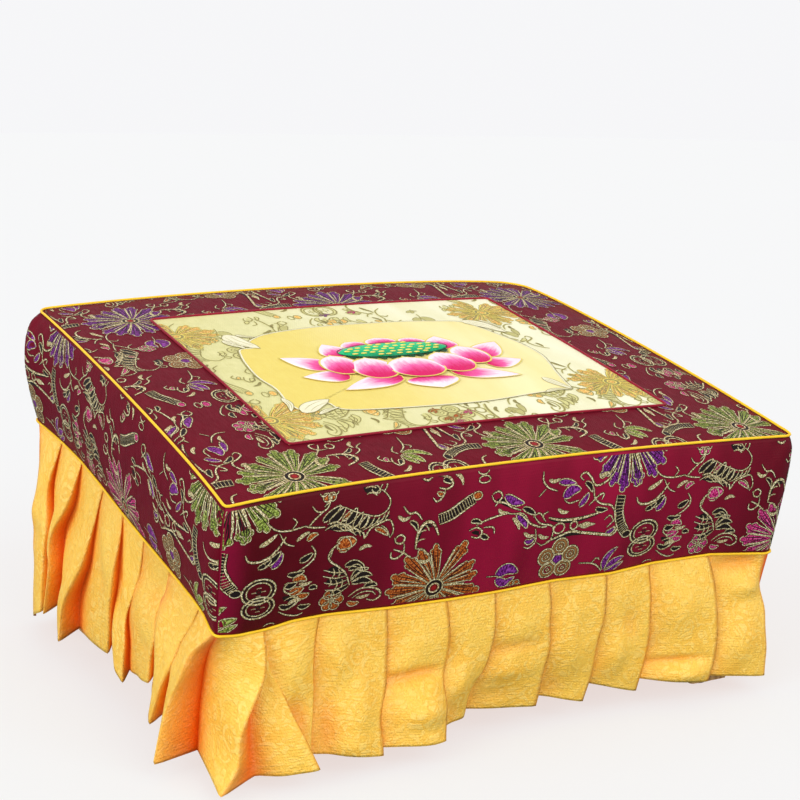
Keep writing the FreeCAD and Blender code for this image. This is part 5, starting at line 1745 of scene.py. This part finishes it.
LEFT_FOLDS = [
    [(-172, 0, 231), (-186, 8, 184), (-177, 14, 139), (-174, 18, 92), (-178, 20, 43)],
    [(-110, 0, 221), (-112, 10, 182), (-147, 18, 136), (-146, 22, 93), (-157, 24, 47)],
    [(-44, 0, 211), (-58, 4, 167), (-66, 12, 124), (-98, 20, 78), (-107, 24, 32)],
    [(11, 0, 201), (19, 4, 169), (16, 8, 134), (10, 8, 94), (-2, 6, 50)],
    [(68, 0, 189), (57, -3, 149), (44, 2, 110), (44, 6, 73), (45, 8, 36)],
    [(135, 0, 173), (129, -3, 147), (127, 4, 124), (127, 8, 96), (122, 10, 62)],
    [(213, 0, 167), (195, 3, 134), (179, 10, 102), (170, 18, 71), (155, 22, 36)],
    [(248, 0, 147), (223, 13, 117), (209, 20, 84), (198, 27, 49), (194, 33, 15)],
]
FRONT_BELLY = [4, 6, 5, 6, 7, 3, 3, 3, 4, 6, 5]
LEFT_BELLY = [5, 4, 4, 3, 4, 3, 4, 3]
FIRST_RETURN = [(-264, -5, 142), (-264, -7, 106), (-267, -7, 77), (-266, -7, 46), (-263, -6, 14)]
CRIMP = {"front": 1.1, "right": 1.2, "rear": 1.2, "left": 2.6}
HEM_LIFT = 7.0
FRONT_HEM_LIFTS = {6: 13.0, 7: 23.0, 8: 15.0}
RETURN_GAP = 2.0
RETURN_SINK = 8.0
FIRST_SINK = 16.0
CORNER_LINES = {
    "front": [(-294, -250, 142), (-294, -231, 126), (-293, -214, 102), (-292, -199, 60), (-291, -190, 20)],
    "left": [(-299, 250, 236), (-304, 224, 206), (-308, 226, 160), (-310, 231, 95), (-310, 236, 20)],
}
SKIRT_PLANE = {"front": 257.0, "right": 301.0, "rear": 257.0, "left": 301.0}
SKIRT_AXES = {"front": ((1, 0, 0), (0, -1, 0)), "right": ((0, 1, 0), (1, 0, 0)),
              "rear": ((-1, 0, 0), (0, 1, 0)), "left": ((0, -1, 0), (-1, 0, 0))}
SKIRT_ROWS = 44
SKIRT_LEVELS = np.linspace(0, 1, SKIRT_ROWS)
SKIRT_CLOTH = 0.9
SKIRT_DROP = 150.0
PLEAT_LAP = 9.0
LEFT_LAP = 10.0
VALLEY_DEPTH = 13.0
VALLEY_HEM = 22.0
FRONT_SLIDE = 0.54
PANEL_STEPS = 16
RETURN_STEPS = 5
PLAIN_BELLY = 4
# How far the folds of a plain side stray along, flare out, drift, clear the floor and wave
PLAIN_STRAY = (-7, 7)
PLAIN_FLARE = (6, 20)
PLAIN_DRIFT = (-24, 6)
PLAIN_HEM = (9, 26)
PLAIN_WAVE = (-4, 4)
LAST_INSET = 3
LAST_FLARE = (16, 22)
LAST_DRIFT = 8
# How deep the shade of a pleat is beside the fold before it, and how fast it fades at its head and hem
PLEAT_SHADE = (0.8, 10, 5)
LEFT_SHADE = (0.95, 7, 3)
# Swellings and dents of the front by pleat: place along, height, reach along, reach up and amount
FRONT_RELIEF = {
    0: [(-282, 107, 14, 30, 8), (-266, 70, 8, 24, -4)],
    2: [(-225, 115, 14, 24, 6), (-228, 60, 12, 18, -7)],
    3: [(-184, 110, 12, 26, 7), (-166, 68, 11, 24, 8), (-196, 46, 9, 26, -7), (-178, 30, 14, 8, 3)],
    4: [(-104, 50, 27, 17, 13), (-108, 80, 34, 6, -8), (-104, 24, 26, 10, 4)],
    5: [(-58, 66, 9, 20, 5), (-66, 34, 9, 14, -3)],
    6: [(-5, 88, 26, 7, -4), (-8, 64, 26, 9, 4), (-12, 40, 20, 8, -2)],
    7: [(60, 74, 12, 24, 5), (50, 40, 12, 14, -3)],
    8: [(116, 64, 10, 22, 6), (128, 90, 10, 16, -3)],
    9: [(180, 48, 32, 4, -6), (190, 33, 30, 8, 7), (188, 104, 18, 26, 4)],
    10: [(258, 136, 30, 8, -9), (266, 112, 24, 10, 8), (262, 60, 16, 24, 3)],
}


def seam_line(name):
    """The foot of a wall: along the side, out from its plane, and height, in millimetres."""
    along, out = np.array(SKIRT_AXES[name], float)
    points = COVER[name].points[-1] / MM
    return np.stack([points @ along, points @ out - SKIRT_PLANE[name], points[:, 2]], -1)


def plain_folds(name, count, seed):
    """Folds of a side that the photograph doesn't show, evenly set with small changes."""
    pick = random.Random(seed)
    seam = seam_line(name)
    half = seam[-1, 0]
    folds = []
    for k in range(count):
        last = k == count - 1
        stray = -LAST_INSET if last else pick.uniform(*PLAIN_STRAY)
        a = -half + 2 * half * (k + 1) / count + stray
        z = np.interp(a, seam[:, 0], seam[:, 2]) - 2
        flare = pick.uniform(*(LAST_FLARE if last else PLAIN_FLARE))
        drift = LAST_DRIFT if last else pick.uniform(*PLAIN_DRIFT)
        hem = pick.uniform(*PLAIN_HEM)
        wave = pick.uniform(*PLAIN_WAVE)
        folds.append([(a + drift * t ** 1.5 + wave * math.sin(6 * t), flare * t ** 1.2, z + (hem - z) * t)
                      for t in (0, 0.25, 0.5, 0.75, 1)])
    return folds


def corner_valley(name):
    """The inner fold at the start of a side, where the side before it ends, in the room's axes."""
    seam = COVER[name].points[-1][0] / MM
    if name in CORNER_LINES:
        line = smooth(CORNER_LINES[name], SKIRT_ROWS)
        head = seam * np.array([0.998, 0.998, 1]) - np.array([0, 0, 1.0])
        return line + (head - line[0]) * ((1 - SKIRT_LEVELS) ** 3)[:, None]
    inward = -np.sign(seam[:2])
    depth = 1 + VALLEY_DEPTH * np.sin(np.pi * 0.62 * SKIRT_LEVELS)
    line = np.zeros((SKIRT_ROWS, 3))
    line[:, :2] = seam[:2] + inward * depth[:, None] * 0.75
    line[:, 2] = np.linspace(seam[2] - 2, VALLEY_HEM, SKIRT_ROWS)
    return line


def relief(marks, a, z):
    """Soft swellings and dents of a side, each with its place, its reach and its height."""
    total = np.zeros(len(z))
    for place, height, wide, tall, amount in marks:
        total += amount * np.exp(-((a - place) / wide) ** 2 - ((z - height) / tall) ** 2)
    return total


def side_marks(name, folds, pick):
    """Swellings and dents of a side by pleat: set on the front, scattered on the other sides."""
    if name == "front":
        return FRONT_RELIEF
    marks = {}
    for k, fold in enumerate(folds):
        marks[k] = [(fold[2][0] - pick.uniform(15, 45), pick.uniform(30, 150), pick.uniform(10, 22),
                     pick.uniform(8, 26), pick.uniform(-2, 4)) for _ in range(3)]
    return marks


def return_line(name, k, outer, lap, inner):
    """The hidden fold behind the outer fold of a pleat."""
    if name == "front" and k == 0:
        return smooth(FIRST_RETURN, SKIRT_ROWS)
    t = SKIRT_LEVELS
    back = outer.copy()
    back[:, 0] -= lap * (1 + 0.6 * t)
    if inner:
        back[:, 1] = np.minimum(outer[:, 1] - RETURN_GAP, -RETURN_GAP - 3 * t)
    else:
        back[:, 1] -= RETURN_GAP + (FIRST_SINK if k == 0 else RETURN_SINK) * t
    hem_lifts = FRONT_HEM_LIFTS if name == "front" else {}
    back[:, 2] += hem_lifts.get(k, HEM_LIFT) * t ** 2
    return back


def fold_lines(name, following, folds, lap, inner):
    """Lines from corner to corner, in the room's axes: outer folds and the returns behind them, in turn."""
    along, out = np.array(SKIRT_AXES[name], float)
    up = np.array([0, 0, 1.0])
    t = SKIRT_LEVELS

    def room(line):
        return line[:, :1] * along + (line[:, 1:2] + SKIRT_PLANE[name]) * out + line[:, 2:] * up

    lines = [corner_valley(name)]
    for k, fold in enumerate(folds):
        outer = smooth(fold, SKIRT_ROWS)
        uneven = np.sin(np.pi * t) * (0.7 + 0.4 * np.sin(5 * t + k))
        outer[:, 0] += CRIMP[name] * np.sin(15 * t + 2.1 * k) * uneven
        lines.append(room(outer))
        if k < len(folds) - 1:
            lines.append(room(return_line(name, k, outer, lap, inner)))
    return lines + [corner_valley(following)]


def pleat_columns(name, lines, marks, bellies, pick):
    """Columns of points from line to line, with bellies and creases, and how deep the painted shade of each is.
    """
    along, out = np.array(SKIRT_AXES[name], float)
    most, head, change = LEFT_SHADE if name == "left" else PLEAT_SHADE
    t = SKIRT_LEVELS
    columns = []
    deep = []
    for k, (here, there) in enumerate(zip(lines, lines[1:])):
        panel = k % 2 == 0
        steps = PANEL_STEPS if panel else RETURN_STEPS
        ripple = pick.uniform(0, 6)
        slant = pick.uniform(-3, 3)
        for i in range(steps if k < len(lines) - 2 else steps + 1):
            f = i / steps
            row = here * (1 - f) + there * f
            # Painted shade: a return is deep in colour, deepest at its hidden fold.
            shade = np.full(SKIRT_ROWS, 0.3 + 0.7 * f)
            if panel:
                belly = bellies[k // 2] * (0.15 + np.sin(2.2 * t)) * (0.8 + 0.3 * np.sin(7 * t + ripple))
                crease = np.sin(9 * f + slant * 4 * t + ripple) * np.sin(3 * t + ripple)
                crease *= np.minimum(t * 3, 1)
                dents = relief(marks.get(k // 2, ()), row @ along, row[:, 2]) * min(1.0, 7 * f * (1 - f))
                row = row + out * (4 * f * (1 - f) * (belly + 1.2 * crease) + dents)[:, None]
                # Painted shade: deep beside the fold that laps over the pleat, widening towards the hem, and
                # deeper in its dents.
                shade = most * (1 - f) ** (head - change * t) + np.clip(-dents / 20, 0, 0.3)
            columns.append(row)
            deep.append(shade)
    return np.array(columns), np.array(deep)


def drawn_to_seam(name, grid):
    """Moves the head of the pleats to the seam at the foot of the wall."""
    seam = seam_line(name)
    along, out = np.array(SKIRT_AXES[name], float)
    place = grid[:, 0] @ along
    face = np.interp(place, seam[:, 0], seam[:, 1])
    height = np.interp(place, seam[:, 0], seam[:, 2])
    gather = (1 - SKIRT_LEVELS) ** 2
    lean = grid[:, 0] @ out - SKIRT_PLANE[name]
    inset = face - 0.6 + np.clip(lean, -3, 0.5) * 0.5 - lean
    slide = FRONT_SLIDE if name == "front" else 0.0
    grid = grid + (out + along * slide) * (inset[:, None] * gather)[..., None]
    grid[..., 2] += (height - 1.0 - grid[:, 0, 2])[:, None] * gather
    return grid


def lay_skirt(name, following, folds, lap, inner, bellies, seed):
    """One side of the skirt as a strip of pleats from its corner valley to the next."""
    pick = random.Random(seed)
    marks = side_marks(name, folds, pick)
    lines = fold_lines(name, following, folds, lap, inner)
    grid, deep = pleat_columns(name, lines, marks, bellies, pick)
    grid[1:-1] = grid[1:-1] * 0.7 + (grid[:-2] + grid[2:]) * 0.15
    grid = drawn_to_seam(name, grid)
    grid[0] = lines[0]
    grid[-1] = lines[-1]
    steps = np.linalg.norm(np.diff(grid[:, SKIRT_ROWS // 2], axis=0), axis=1)
    length = np.concatenate([[0], np.cumsum(steps)])
    uv = np.stack(np.broadcast_arrays(length[:, None], -SKIRT_DROP * SKIRT_LEVELS), -1)
    # The tint by point carries the painted shade of the pleats.
    mesh = mesh_from("skirt_cloth_" + name, grid.reshape(-1, 3) * MM, grid_faces(len(grid), SKIRT_ROWS),
                     uv.reshape(-1, 2) * MM, deep.ravel())
    mesh.flip_normals()
    made = piece("skirt_cloth_" + name, mesh, [SKIRT_SATIN], ["skirt_" + name])
    thicken(made, SKIRT_CLOTH, 0.0)


def lay_skirts():
    """The four sides of the skirt, the right and rear ones with plain folds."""
    plans = {
        "front": (FRONT_FOLDS, PLEAT_LAP, False, FRONT_BELLY),
        "right": (plain_folds("right", 8, 21), PLEAT_LAP, False, [PLAIN_BELLY] * 8),
        "rear": (plain_folds("rear", 10, 22), PLEAT_LAP, False, [PLAIN_BELLY] * 10),
        "left": (LEFT_FOLDS, LEFT_LAP, True, LEFT_BELLY),
    }
    for k, name in enumerate(SIDES):
        folds, lap, inner, bellies = plans[name]
        lay_skirt(name, SIDES[(k + 1) % 4], folds, lap, inner, bellies, 30 + k)


def finish_bench():
    """Materials of the wooden bench and its small fittings."""
    for name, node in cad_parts.items():
        if node.hide_render:
            continue
        if "glide" in name and "nail" not in name:
            material = GLIDE
        elif "screw" in name or "nail" in name:
            material = STEEL
        else:
            material = PINE[int(np.argmax(node.dimensions))]
        node.data.materials.clear()
        node.data.materials.append(material)


lay_foam()
lay_lining()
lay_cover()
lay_piping()
lay_brocade()
lay_border()
lay_field()
lay_trim()
lay_panel_threads()
lay_lotus()
lay_skirts()
finish_bench()
